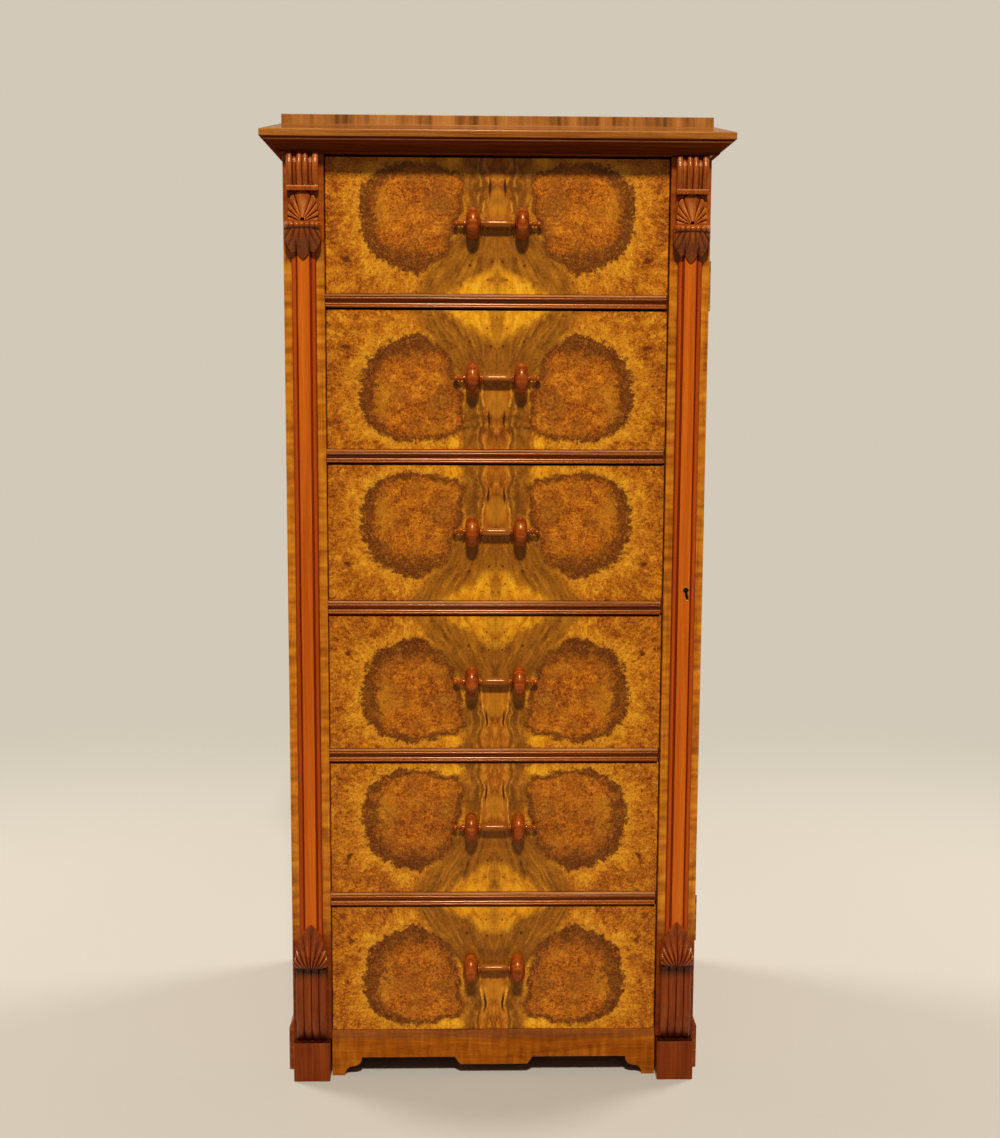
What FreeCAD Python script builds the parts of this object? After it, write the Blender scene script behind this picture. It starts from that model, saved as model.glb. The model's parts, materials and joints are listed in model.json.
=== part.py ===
import FreeCAD, Part
import math
import os

# Wellington chest: six drawers between two pilasters, of which the right one is a locking flap.
# Millimetres. X runs to the viewer's right, Y to the back, Z up. The origin is on the floor, in the
# middle of the chest's footprint.

V = FreeCAD.Vector

# Carcass
carcass_width = 510.0
carcass_depth = 405.0  # from the pilasters' face to the back
carcass_height = 1151.0  # from the floor to the underside of the top board
side_thickness = 18.0
back_thickness = 8.0
back_board_count = 3
bottom_thickness = 14.0
carcass_floor = 58.5  # upper face of the bottom board
top_thickness = 16.0
top_lead = 6.0  # how far the top board stands ahead of the pilasters' face
slab_thickness = 28.0

# Cornice moulding, as distances out from the top board's edge and up from its underside
cornice_overhang = 24.0
cornice_height = 33.0
cornice_soffit = 6.0
cornice_step = 1.2
cove_radius = 11.0
cornice_fillet = 1.4
cornice_fillet_height = 2.8
nose_height = 9.3
nose_rounding = 1.5

# Pilasters: a fixed stile on the left, the flap on the right
stile_width = 48.5
flap_thickness = 18.0
flap_side_gap = 0.4
flap_top_gap = 1.2
flap_bottom_gap = 1.8
strip_width = 29.0
strip_height = 7.5
strip_flat = 14.0
strip_bead_height = 5.8
strip_quirk = 3.2
strip_edge = 1.5
strip_top_cover = 24.0  # how far the strip runs up under the top corbel's leaf
strip_bottom_cover = 28.0  # how far it runs down under the bottom bracket's leaf

# Rails between the drawers, numbered from the bottom
rail_count = 5
rail_thickness = 16.0
top_opening_less = 7.0  # top drawer's opening is lower than a middle one by this
bottom_opening_less = 4.1
rail_depth = 60.0
facing_setback = 10.0  # foot of a facing's moulding behind the pilasters' face
facing_end_gap = 2.5  # facing's right end to the edge of the opening
facing_bead_reach = 5.5
facing_hollow_reach = 1.0

# Drawers, numbered from the top
front_setback = 8.5
front_thickness = 20.0
front_side_gap = 0.8
front_bottom_gap = 0.5
front_top_gap = 2.6
drawer_side_thickness = 9.0
drawer_side_drop = 8.0  # drawer side's upper edge below the front's
drawer_back_thickness = 8.0
drawer_rear_gap = 12.0
drawer_run_gap = 0.3  # drawer side above its runner
panel_thickness = 6.0
panel_rise = 8.0  # panel's underside above the drawer side's lower edge
panel_groove = 4.5
panel_play = 0.1
dovetail_count = 3
dovetail_length = 13.0
dovetail_share = 0.5  # tail's root width in one pitch
dovetail_slope = 1.0 / 7.0
back_housing = 3.0  # drawer back let into its sides
back_inset = 8.0  # drawer back in from the sides' rear ends
runner_width = 47.0
guide_height = 25.0

# Handles: two turned wheels on a rod, drawn with a number of flats round them to stay light
turning_flats = 20
wheel_radius = 17.0
wheel_thickness = 18.0
wheel_rounding = 7.5
wheel_spacing = 59.0
wheel_standoff = 7.0  # rod's axis in front of the drawer's face
handle_rise = 2.5  # rod's axis above the middle of the front
rod_radius = 4.0
neck_radius = 2.8
neck_length = 4.5
finial_radius = 5.2

# Corbels at the top of the pilasters and brackets at their feet
corbel_width = 38.0
leaf_width = 43.0
shell_width = 37.0
reed_count = 4
reed_groove_width = 1.6
reed_groove_depth = 1.8
corbel_height = 124.0
corbel_block_height = 44.0
corbel_lip_height = 6.0
corbel_lip_reach = 12.8
corbel_top_reach = 13.5
corbel_bulge_reach = 16.2
corbel_waist_reach = 11.0
shell_reach = 5.0
roll_drop = 81.0  # middle of the rolled lip below the corbel's top
roll_radius = 5.0
roll_reach = 24.0
hang_reach = 16.0  # middle of the hanging leaf
tip_reach = 9.6
lobe_height = 13.0  # leaf's tip to the ends of its side lobes
lobe_notch = 3.0
bracket_height = 154.0
bracket_block_height = 99.0
bracket_foot_reach = 6.0
bracket_reach = 14.6
bracket_roll_reach = 19.6
bracket_leaf_reach = 16.6
bracket_belly = 1.0
bracket_lobe_height = 19.0

# Plinth
plinth_block_width = 45.5
plinth_block_height = 51.0
plinth_block_lead = 14.0  # ahead of the pilasters' face
plinth_reach = 8.0  # plinth sides out from the carcass sides
plinth_side_height = 56.0
plinth_splay_height = 20.0
plinth_side_gap = 1.8
apron_setback = 3.0
apron_thickness = 18.0
apron_splay_height = 8.5
apron_splay_depth = 5.0
apron_clearance = 24.0  # floor to the apron's straight lower edge
pendant_clearance = 14.0
pendant_half = 43.0
pendant_slope = 7.0
foot_width = 16.5
foot_curve = 21.0

# Hinges and lock of the flap
hinge_count = 2
hinge_height = 60.0
hinge_end = 150.0  # from the flap's end to the middle of the nearest hinge
leaf_thickness = 1.0
leaf_gap = 0.2
leaf_reach = 16.0
knuckle_radius = 2.0
knuckle_gap = 0.2
hinge_pin_radius = 1.0
hinge_pin_play = 0.05
axis_offset = 2.2  # hinge axis out from the carcass side
lock_width = 33.0
lock_height = 55.0
lock_depth = 10.0
lock_edge = 1.5  # lock case from the flap's inner edge
lock_below = 16.0  # lock case below the middle of the rail that it locks to
bolt_length = 24.0
bolt_height = 8.0
bolt_thickness = 4.0
bolt_cover = 1.8  # from the lock case's back to the bolt
bolt_travel = 8.0
bolt_play = 0.3
bolt_inset = 0.7
keyhole_radius = 3.2
keyhole_slot = 2.8
keyhole_drop = 12.0
keyhole_rise = 24.0  # keyhole's round above the rail's middle
keyhole_shift = 2.2  # keyhole from the middle of the flap
keyhole_tilt = 12.0
keyhole_wall = 0.9

# Places that follow from the sizes above
half_width = carcass_width / 2
total_depth = carcass_depth + top_lead + cornice_overhang
face = top_lead + cornice_overhang - total_depth / 2  # pilasters' face
rear = face + carcass_depth
top_front = face - top_lead
inner_half = half_width - side_thickness
opening_half = half_width - stile_width
stile_middle = half_width - stile_width / 2
stile_back = face + flap_thickness + 2 * leaf_thickness + leaf_gap
back_front = rear - back_thickness
facing_front = face + facing_setback
facing_right = opening_half - facing_end_gap
rail_rear = stile_back + rail_depth
drawer_count = rail_count + 1
clear_height = carcass_height - carcass_floor - rail_count * rail_thickness
middle_opening = (clear_height + top_opening_less + bottom_opening_less) / drawer_count
first_rail = carcass_floor + middle_opening - bottom_opening_less
rail_bottoms = [first_rail + i * (middle_opening + rail_thickness) for i in range(rail_count)]
opening_floors = [carcass_floor] + [z + rail_thickness for z in rail_bottoms]
opening_ceilings = rail_bottoms + [carcass_height]
front_face = face + front_setback
front_back = front_face + front_thickness
front_half = opening_half - front_side_gap
drawer_rear = back_front - drawer_rear_gap
flap_inner = opening_half + flap_side_gap
flap_outer = half_width - flap_side_gap
flap_bottom = plinth_block_height + flap_bottom_gap
flap_top = carcass_height - flap_top_gap
lock_rail_middle = rail_bottoms[rail_count // 2] + rail_thickness / 2


def box(x, y, z):
    return Part.makeBox(x[1] - x[0], y[1] - y[0], z[1] - z[0], V(x[0], y[0], z[0]))


def outline(start, *steps):
    # A closed face: each step is an end point, or a middle and an end point of an arc.
    edges = []
    here = start
    for step in steps:
        if isinstance(step, tuple):
            edges.append(Part.Arc(here, step[0], step[1]).toShape())
            here = step[1]
        else:
            edges.append(Part.LineSegment(here, step).toShape())
            here = step
    if (here - start).Length > 1e-6:
        edges.append(Part.LineSegment(here, start).toShape())
    return Part.Face(Part.Wire(edges))


def mirrored(shape):
    return shape.mirror(V(0, 0, 0), V(1, 0, 0))


def both_sides(shape):
    return [shape, mirrored(shape)]


def save(name, shapes):
    solids = [solid for shape in shapes for solid in shape.Solids]
    whole = solids[0] if len(solids) == 1 else Part.makeCompound(solids)
    assert all(solid.isValid() for solid in solids), name
    whole.exportStep("parts/" + name + ".step")


def make_carcass():
    side = box((inner_half, half_width), (stile_back, rear), (0, carcass_height))
    save("right_side", [side])
    save("left_side", [mirrored(side)])
    floor_board = box((-inner_half, inner_half), (face + apron_setback + apron_thickness, back_front),
                      (carcass_floor - bottom_thickness, carcass_floor))
    save("bottom_board", [floor_board])
    top_edge = carcass_height + top_thickness
    save("top_board", [box((-half_width, half_width), (top_front, rear), (carcass_height, top_edge))])
    slab_top = top_edge + slab_thickness
    save("top_slab", [box((-half_width, half_width), (top_front, rear), (top_edge, slab_top))])
    board_width = 2 * inner_half / back_board_count
    boards = []
    for i in range(back_board_count):
        left = -inner_half + i * board_width
        boards.append(box((left, left + board_width), (back_front, rear),
                          (carcass_floor - bottom_thickness, carcass_height)))
    save("back_boards", boards)


def cornice_section(place):
    # place(out, up) gives the point that lies out from the top board's edge and up from its underside.
    cove_out = cornice_soffit + cornice_step
    cove_end = cove_out + cove_radius
    cove_top = cornice_step + cove_radius
    bend = cove_radius * math.sqrt(0.5)
    fillet_out = cove_end + cornice_fillet
    nose_low = cove_top + cornice_fillet_height
    nose_high = nose_low + nose_height
    round_off = nose_rounding * (1 - math.sqrt(0.5))
    edge = cornice_overhang
    return outline(
        place(0, 0), place(cornice_soffit, 0), place(cornice_soffit, cornice_step),
        place(cove_out, cornice_step),
        (place(cove_end - bend, cornice_step + bend), place(cove_end, cove_top)),
        place(fillet_out, cove_top), place(fillet_out, nose_low), place(edge - nose_rounding, nose_low),
        (place(edge - round_off, nose_low + round_off), place(edge, nose_low + nose_rounding)),
        place(edge, nose_high - nose_rounding),
        (place(edge - round_off, nose_high - round_off), place(edge - nose_rounding, nose_high)),
        place(0, cornice_height))


def make_cornice():
    reach = half_width + cornice_overhang
    nose_front = top_front - cornice_overhang
    front = cornice_section(lambda out, up: V(-reach, top_front - out, carcass_height + up))
    front = front.extrude(V(2 * reach, 0, 0))
    side = cornice_section(lambda out, up: V(half_width + out, nose_front, carcass_height + up))
    side = side.extrude(V(0, rear - nose_front, 0))
    corner = V(half_width, top_front, carcass_height)
    tip = V(reach, nose_front, carcass_height)
    lift = V(0, 0, cornice_height)
    beyond_front = outline(corner, tip, V(reach, top_front, carcass_height)).extrude(lift)
    beyond_side = outline(corner, tip, V(half_width, nose_front, carcass_height)).extrude(lift)
    for wedge in both_sides(beyond_front):
        front = front.cut(wedge)
    save("cornice_front", [front])
    save("cornice_returns", both_sides(side.cut(beyond_side)))


def facing_section(x, floor):
    # A rail's walnut facing: from its foot up a bead, a deep hollow, a bead, a quirk and a fillet.
    def at(reach, share):
        return V(x, facing_front - reach, floor + share * rail_thickness)

    back = facing_front - stile_back
    bead = facing_bead_reach
    root = 0.6 * bead
    fillet = 0.84 * bead
    return outline(
        at(back, 0), at(root, 0), (at(0.92 * bead, 0.09), at(root, 0.18)),
        (at(facing_hollow_reach, 0.39), at(root, 0.6)), (at(bead, 0.7), at(root, 0.8)),
        at(0.45 * bead, 0.84), at(fillet, 0.84), at(fillet, 1), at(back, 1))


def make_rails():
    rails = []
    facings = []
    runners = []
    for i, floor in enumerate(rail_bottoms):
        height = (floor, floor + rail_thickness)
        rails.append(box((-inner_half, inner_half), (stile_back, rail_rear), height))
        facing = facing_section(-opening_half, floor).extrude(V(opening_half + facing_right, 0, 0))
        if i == rail_count // 2:
            facing = facing.cut(bolt_space(flap_inner + bolt_inset - bolt_travel, opening_half))
        facings.append(facing)
        runners += both_sides(box((inner_half - runner_width, inner_half), (rail_rear, back_front), height))
    for floor in opening_floors:
        guide = box((opening_half, inner_half), (stile_back, back_front), (floor, floor + guide_height))
        runners += both_sides(guide)
    save("drawer_rails", rails)
    save("rail_mouldings", facings)
    save("drawer_runners", runners)


def strip_section(z):
    # The applied moulding on a pilaster: a raised flat between two quirks and two beads.
    half = strip_width / 2
    flat = strip_flat / 2
    quirk_out = flat + 0.1 * strip_width / 2
    bead_low = half - 0.02 * strip_width / 2
    bead_mid = (quirk_out + bead_low) / 2

    def at(x, height):
        return V(x, face - height, z)

    return outline(
        at(-half, 0), at(-half, strip_edge), at(-bead_low, strip_edge),
        (at(-bead_mid, strip_bead_height), at(-quirk_out, strip_quirk)), at(-flat, strip_quirk),
        at(-flat, strip_height), at(flat, strip_height), at(flat, strip_quirk), at(quirk_out, strip_quirk),
        (at(bead_mid, strip_bead_height), at(bead_low, strip_edge)), at(half, strip_edge), at(half, 0))


def strip(low, high):
    bottom = low + bracket_height - strip_bottom_cover
    top = high - corbel_height + strip_top_cover
    return strip_section(bottom).extrude(V(0, 0, top - bottom))


def reeded_block(section, width):
    # section(inset) is the side outline with its front set back; slots divide the front into reeds.
    def slab(inset, x, thickness):
        piece = section(inset).extrude(V(thickness, 0, 0))
        piece.translate(V(x, 0, 0))
        return piece

    block = slab(0, -width / 2, width)
    for i in range(1, reed_count):
        x = -width / 2 + i * width / reed_count - reed_groove_width / 2
        slot = slab(0, x, reed_groove_width).cut(slab(reed_groove_depth, x, reed_groove_width))
        block = block.cut(slot)
    return block


def carved_leaf(profile, plan):
    # A leaf that curls over: its side profile and its front outline together.
    leaf = profile.extrude(V(leaf_width, 0, 0))
    leaf.translate(V(-leaf_width / 2, 0, 0))
    return leaf.common(plan.extrude(V(0, 2 * leaf_width, 0)))


def top_corbel(top, strip_solid):
    # From the top down: a reeded block, a shell in a hollow, a rolled lip and a hanging leaf.
    def at(reach, drop):
        return V(0, face - reach, top - drop)

    base = corbel_block_height
    reeds = base - corbel_lip_height

    def block_section(inset):
        return outline(
            at(0, 0), at(corbel_top_reach - inset, 0), at(corbel_bulge_reach - inset, 0.2 * reeds),
            at((corbel_bulge_reach + corbel_waist_reach) / 2 - inset, 0.55 * reeds),
            at(corbel_waist_reach - inset, reeds), at(0, reeds))

    block = reeded_block(block_section, corbel_width)
    lip = box((-corbel_width / 2, corbel_width / 2), (face - corbel_lip_reach, face),
              (top - base, top - reeds))
    tip = corbel_height
    rim = roll_reach - roll_radius
    hang = (roll_drop + roll_radius + tip) / 2
    profile = outline(
        at(0, base), at(shell_reach, base),
        at(shell_reach + 0.25 * rim, base + 0.6 * (roll_drop - base)), at(rim, roll_drop - roll_radius),
        (at(roll_reach, roll_drop), at(rim, roll_drop + roll_radius)),
        (at(hang_reach, hang), at(tip_reach, tip)), at(0, tip))
    half = leaf_width / 2
    shell_half = shell_width / 2
    lobe = tip - lobe_height

    def edge(side):
        return [V(side * x, face - leaf_width, top - drop) for x, drop in (
            (shell_half, base), (shell_half, roll_drop - roll_radius), (half, roll_drop), (half, hang),
            (0.72 * half, lobe), (0.45 * half, lobe - lobe_notch), (0.4 * half, lobe + lobe_notch))]

    plan = outline(*edge(-1), V(0, face - leaf_width, top - tip), *reversed(edge(1)))
    leaf = carved_leaf(profile, plan)
    return block.fuse([lip, leaf]).removeSplitter().cut(strip_solid)


def bottom_bracket(base, strip_solid):
    # From the floor up: a reeded foot that draws in at its base, a rolled lip and a pointing leaf.
    def at(reach, rise):
        return V(0, face - reach, base + rise)

    top = bracket_block_height

    def block_section(inset):
        return outline(
            at(0, 0), at(bracket_foot_reach - inset, 0),
            at((bracket_foot_reach + 3 * bracket_reach) / 4 - inset, 0.25 * top),
            at(bracket_reach - inset, 0.7 * top), at(bracket_reach - inset, top), at(0, top))

    block = reeded_block(block_section, corbel_width)
    tip = bracket_height
    roll_top = top + 2 * roll_radius
    profile = outline(
        at(0, top), at(bracket_reach, top),
        (at(bracket_roll_reach, top + roll_radius), at(bracket_leaf_reach, roll_top)),
        (at((bracket_leaf_reach + tip_reach) / 2 + bracket_belly, (roll_top + tip) / 2), at(tip_reach, tip)),
        at(0, tip))
    half = leaf_width / 2
    lobe = tip - bracket_lobe_height

    def edge(side):
        return [V(side * x, face - leaf_width, base + rise) for x, rise in (
            (0.93 * half, top), (half, roll_top), (0.6 * half, lobe), (0.5 * half, lobe - lobe_notch),
            (0.3 * half, lobe + 2 * lobe_notch))]

    plan = outline(*edge(-1), V(0, face - leaf_width, base + tip), *reversed(edge(1)))
    leaf = carved_leaf(profile, plan)
    return block.fuse(leaf).removeSplitter().cut(strip_solid)


def hinge_middles():
    first = flap_bottom + hinge_end
    last = flap_top - hinge_end
    return [first + i * (last - first) / (hinge_count - 1) for i in range(hinge_count)]


def hinge_leaf(leaf_y, middle, knuckles):
    # One leaf of a butt hinge, with the knuckles whose numbers are given, counted from the bottom.
    axis_x = half_width + axis_offset
    axis_y = stile_back - leaf_thickness - leaf_gap / 2
    low = middle - hinge_height / 2
    inner = axis_x - axis_offset
    leaf = box((inner - leaf_reach, inner), leaf_y, (low, low + hinge_height))
    knuckle_pitch = hinge_height / 3
    for number in knuckles:
        base = low + number * knuckle_pitch + knuckle_gap / 2
        height = knuckle_pitch - knuckle_gap
        leaf = leaf.fuse(box((inner, axis_x), leaf_y, (base, base + height)))
        leaf = leaf.fuse(Part.makeCylinder(knuckle_radius, height, V(axis_x, axis_y, base)))
    bore = Part.makeCylinder(hinge_pin_radius + hinge_pin_play, hinge_height, V(axis_x, axis_y, low))
    return leaf.cut(bore).removeSplitter()


def make_hinges():
    axis_x = half_width + axis_offset
    axis_y = stile_back - leaf_thickness - leaf_gap / 2
    flap_back = face + flap_thickness
    fixed = []
    swinging = []
    for middle in hinge_middles():
        fixed.append(hinge_leaf((stile_back - leaf_thickness, stile_back), middle, (0, 2)))
        pin_base = V(axis_x, axis_y, middle - hinge_height / 2)
        fixed.append(Part.makeCylinder(hinge_pin_radius, hinge_height, pin_base))
        swinging.append(hinge_leaf((flap_back, flap_back + leaf_thickness), middle, (1,)))
    save("hinge_leaves_carcass", fixed)
    save("hinge_leaves_flap", swinging)


def bolt_space(left, right):
    # The room that the bolt needs, from left to right.
    back = face + flap_thickness - bolt_cover
    half = bolt_height / 2 + bolt_play
    return box((left - bolt_play, right), (back - bolt_thickness - bolt_play, back + bolt_play),
               (lock_rail_middle - half, lock_rail_middle + half))


def keyhole(grow, depth_from, depth_to):
    middle = V(stile_middle + keyhole_shift, depth_from, lock_rail_middle + keyhole_rise)
    depth = depth_to - depth_from
    round_part = Part.makeCylinder(keyhole_radius + grow, depth, middle, V(0, 1, 0))
    half = keyhole_slot / 2 + grow
    slot = box((middle.x - half, middle.x + half), (depth_from, depth_to),
               (middle.z - keyhole_drop - grow, middle.z))
    slot.rotate(middle, V(0, 1, 0), -keyhole_tilt)
    return round_part.fuse(slot).removeSplitter()


def make_flap():
    flap_back = face + flap_thickness
    case_x = (flap_inner + lock_edge, flap_inner + lock_edge + lock_width)
    case_y = (flap_back - lock_depth, flap_back)
    case_z = (lock_rail_middle - lock_below, lock_rail_middle - lock_below + lock_height)
    bolt_left = flap_inner + bolt_inset
    channel = bolt_space(flap_inner, bolt_left + bolt_length + bolt_play)
    board = box((flap_inner, flap_outer), (face, flap_back), (flap_bottom, flap_top))
    board = board.cut(box(case_x, case_y, case_z)).cut(channel).cut(keyhole(0, face, flap_back - lock_depth))
    save("flap_board", [board])
    case = box(case_x, case_y, case_z).cut(channel)
    save("lock_case", [case.cut(keyhole(0, case_y[0], flap_back - bolt_cover))])
    back = flap_back - bolt_cover
    bolt = box((bolt_left, bolt_left + bolt_length), (back - bolt_thickness, back),
               (lock_rail_middle - bolt_height / 2, lock_rail_middle + bolt_height / 2))
    save("lock_bolt", [bolt])
    flap_strip = strip(flap_bottom, flap_top)
    flap_strip.translate(V(stile_middle, 0, 0))
    liner = keyhole(keyhole_wall, face - strip_height, face)
    save("flap_strip", [flap_strip.cut(liner)])
    save("keyhole_liner", [liner.cut(keyhole(0, face - strip_height, face))])
    save_carvings("flap", flap_bottom, flap_top, stile_middle)


def save_carvings(owner, low, high, middle):
    strip_solid = strip(low, high)
    for name, carving in (("top_corbel", top_corbel(high, strip_solid)),
                          ("bottom_bracket", bottom_bracket(low, strip_solid))):
        carving.translate(V(middle, 0, 0))
        save(owner + "_" + name, [carving])


def make_left_stile():
    stile_x = (-half_width, -opening_half)
    save("left_stile", [box(stile_x, (face, stile_back), (plinth_block_height, carcass_height))])
    left_strip = strip(plinth_block_height, carcass_height)
    left_strip.translate(V(-stile_middle, 0, 0))
    save("left_strip", [left_strip])
    save_carvings("left", plinth_block_height, carcass_height, -stile_middle)


def tails(root, tip, low, high, x):
    # A row of dovetails on a drawer side, from its root line to their wider tips.
    pitch = (high - low) / dovetail_count
    spread = abs(tip - root) * dovetail_slope
    half = dovetail_share * pitch / 2
    row = []
    for i in range(dovetail_count):
        middle = low + (i + 0.5) * pitch
        shape = outline(V(x[0], root, middle - half), V(x[0], root, middle + half),
                        V(x[0], tip, middle + half + spread), V(x[0], tip, middle - half - spread))
        row.append(shape.extrude(V(x[1] - x[0], 0, 0)))
    return row


def turned(axis_y, axis_z, steps):
    # A piece turned about an axis along X: steps are places on the axis and radii.
    turn = 2 * math.pi / turning_flats

    def corner(step, i):
        x, radius = step
        return V(x, axis_y + radius * math.cos(i * turn), axis_z + radius * math.sin(i * turn))

    def flat(corners):
        return Part.Face(Part.makePolygon(corners + corners[:1]))

    facets = [flat([corner(step, i) for i in range(turning_flats)]) for step in (steps[0], steps[-1])]
    for here, there in zip(steps, steps[1:]):
        for i in range(turning_flats):
            facets.append(flat([corner(here, i), corner(here, i + 1),
                                corner(there, i + 1), corner(there, i)]))
    solid = Part.makeSolid(Part.makeShell(facets))
    return solid if solid.Volume > 0 else solid.reversed()


def drawer_handle(middle, with_finials):
    # Two wheels with flat backs on the drawer's face, a rod between them and a finial outside each.
    axis_y = front_face - wheel_standoff
    side = wheel_thickness / 2
    rim = side - wheel_rounding
    shoulder = wheel_radius - wheel_rounding
    bend = wheel_rounding * math.sqrt(0.5)
    half_wheel = [(rim, wheel_radius), (rim + bend, shoulder + bend), (side, shoulder)]
    wheel = turned(axis_y, middle, [(-x, r) for x, r in reversed(half_wheel)] + half_wheel)
    behind = box((-side, side), (front_face, front_face + wheel_radius),
                 (middle - wheel_radius, middle + wheel_radius))
    wheel = wheel.cut(behind)
    wheel.translate(V(wheel_spacing / 2, 0, 0))
    reach = wheel_spacing / 2 - side
    pieces = both_sides(wheel) + [turned(axis_y, middle, [(-reach, rod_radius), (reach, rod_radius)])]
    if with_finials:
        root = wheel_spacing / 2 + side
        neck = root + neck_length
        finial = turned(axis_y, middle, [(root, neck_radius), (neck, neck_radius),
                                         (neck + finial_radius, finial_radius),
                                         (neck + 2 * finial_radius, 0.4 * finial_radius)])
        pieces += both_sides(finial)
    return pieces


def make_drawer(number):
    level = drawer_count - number
    floor = opening_floors[level]
    low = floor + front_bottom_gap
    high = opening_ceilings[level] - front_top_gap
    side_low = floor + drawer_run_gap
    side_high = high - drawer_side_drop
    side_x = (front_half - drawer_side_thickness, front_half)
    panel_z = (side_low + panel_rise, side_low + panel_rise + panel_thickness)
    panel_half = side_x[0] + panel_groove
    panel_front = front_back - panel_groove
    back_half = side_x[0] + back_housing
    back_y = (drawer_rear - back_inset - drawer_back_thickness, drawer_rear - back_inset)
    panel = box((-panel_half, panel_half), (panel_front, drawer_rear), panel_z)
    groove = box((-panel_half - panel_play, panel_half + panel_play), (panel_front - panel_play, drawer_rear),
                 (panel_z[0] - panel_play, panel_z[1]))
    back = box((-back_half, back_half), back_y, (panel_z[1], side_high))
    side = box(side_x, (front_back, drawer_rear), (side_low, side_high))
    front = box((-front_half, front_half), (front_face, front_back), (low, high)).cut(groove)
    for tail in tails(front_back, front_back - dovetail_length, low, side_high, side_x):
        side = side.fuse(tail)
        for socket in both_sides(tail):
            front = front.cut(socket)
    side = side.removeSplitter().cut([groove, back])
    middle = (low + high) / 2 + handle_rise
    prefix = "drawer_" + str(number) + "_"
    save(prefix + "front", [front])
    save(prefix + "sides", both_sides(side))
    save(prefix + "back", [back])
    save(prefix + "bottom", [panel])
    save(prefix + "handle", drawer_handle(middle, number < drawer_count))


def apron_outline():
    y = face + apron_setback

    def at(x, z):
        return V(x, y, z)

    foot = opening_half - foot_width
    bend = foot - foot_curve / 2
    arch = foot - foot_curve
    step = pendant_half + pendant_slope
    half_rise = apron_clearance / 2
    bow = foot_curve / 8
    return outline(
        at(-opening_half, carcass_floor), at(-opening_half, 0), at(-foot, 0),
        (at(-foot + foot_curve / 4 - bow, half_rise / 2 + bow), at(-bend, half_rise)),
        (at(-bend + foot_curve / 4 + bow, 1.5 * half_rise - bow), at(-arch, apron_clearance)),
        at(-step, apron_clearance), at(-pendant_half, pendant_clearance),
        at(pendant_half, pendant_clearance), at(step, apron_clearance), at(arch, apron_clearance),
        (at(bend - foot_curve / 4 - bow, 1.5 * half_rise - bow), at(bend, half_rise)),
        (at(foot - foot_curve / 4 + bow, half_rise / 2 + bow), at(foot, 0)),
        at(opening_half, 0), at(opening_half, carcass_floor))


def make_plinth():
    inner = opening_half + (stile_width - plinth_block_width) / 2
    block = box((inner, inner + plinth_block_width), (face - plinth_block_lead, stile_back),
                (0, plinth_block_height))
    save("plinth_blocks", both_sides(block))
    front = stile_back + plinth_side_gap
    side = outline(V(half_width, front, 0), V(half_width + plinth_reach, front, 0),
                   V(half_width + plinth_reach, front, plinth_side_height),
                   V(half_width, front, plinth_side_height + plinth_splay_height))
    save("plinth_sides", both_sides(side.extrude(V(0, rear - front, 0))))
    apron = apron_outline().extrude(V(0, apron_thickness, 0))
    y = face + apron_setback
    splay = outline(V(-opening_half, y, carcass_floor - apron_splay_height),
                    V(-opening_half, y, carcass_floor),
                    V(-opening_half, y + apron_splay_depth, carcass_floor))
    save("apron", [apron.cut(splay.extrude(V(2 * opening_half, 0, 0)))])


def main():
    os.makedirs("parts", exist_ok=True)
    make_carcass()
    make_cornice()
    make_rails()
    make_left_stile()
    make_flap()
    make_hinges()
    make_plinth()
    for number in range(1, drawer_count + 1):
        make_drawer(number)


main()
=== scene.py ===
import json
import math
from functools import partial

import bpy
from mathutils import Matrix, Vector


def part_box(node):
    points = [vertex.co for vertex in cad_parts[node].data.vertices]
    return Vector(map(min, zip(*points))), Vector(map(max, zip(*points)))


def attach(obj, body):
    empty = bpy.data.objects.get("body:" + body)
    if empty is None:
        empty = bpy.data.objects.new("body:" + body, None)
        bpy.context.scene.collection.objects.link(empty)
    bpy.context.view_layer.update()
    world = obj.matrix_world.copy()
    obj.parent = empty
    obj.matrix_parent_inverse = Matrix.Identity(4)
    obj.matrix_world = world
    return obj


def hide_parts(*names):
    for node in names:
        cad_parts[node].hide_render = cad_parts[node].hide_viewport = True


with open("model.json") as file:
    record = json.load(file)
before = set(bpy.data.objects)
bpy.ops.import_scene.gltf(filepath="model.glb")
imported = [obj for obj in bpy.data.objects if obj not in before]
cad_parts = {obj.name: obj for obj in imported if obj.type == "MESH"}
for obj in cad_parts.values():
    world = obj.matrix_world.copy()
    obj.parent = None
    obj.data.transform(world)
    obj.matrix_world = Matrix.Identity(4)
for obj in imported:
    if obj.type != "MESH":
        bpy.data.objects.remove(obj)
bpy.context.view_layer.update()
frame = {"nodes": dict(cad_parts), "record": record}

mm = 0.001
nodes = frame["nodes"]
bodyOf = {}
for bodyName, members in frame["record"]["behaviour"]["bodies"].items():
    for member in members:
        bodyOf[member] = bodyName
drawerNumbers = range(1, 7)
print("frame loaded:", len(nodes), "nodes")


def toLinear(hexColour):
    parts = [int(hexColour[i:i + 2], 16) / 255 for i in (1, 3, 5)]
    return tuple(c / 12.92 if c <= 0.04045 else ((c + 0.055) / 1.055) ** 2.4 for c in parts) + (1.0,)


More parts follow.
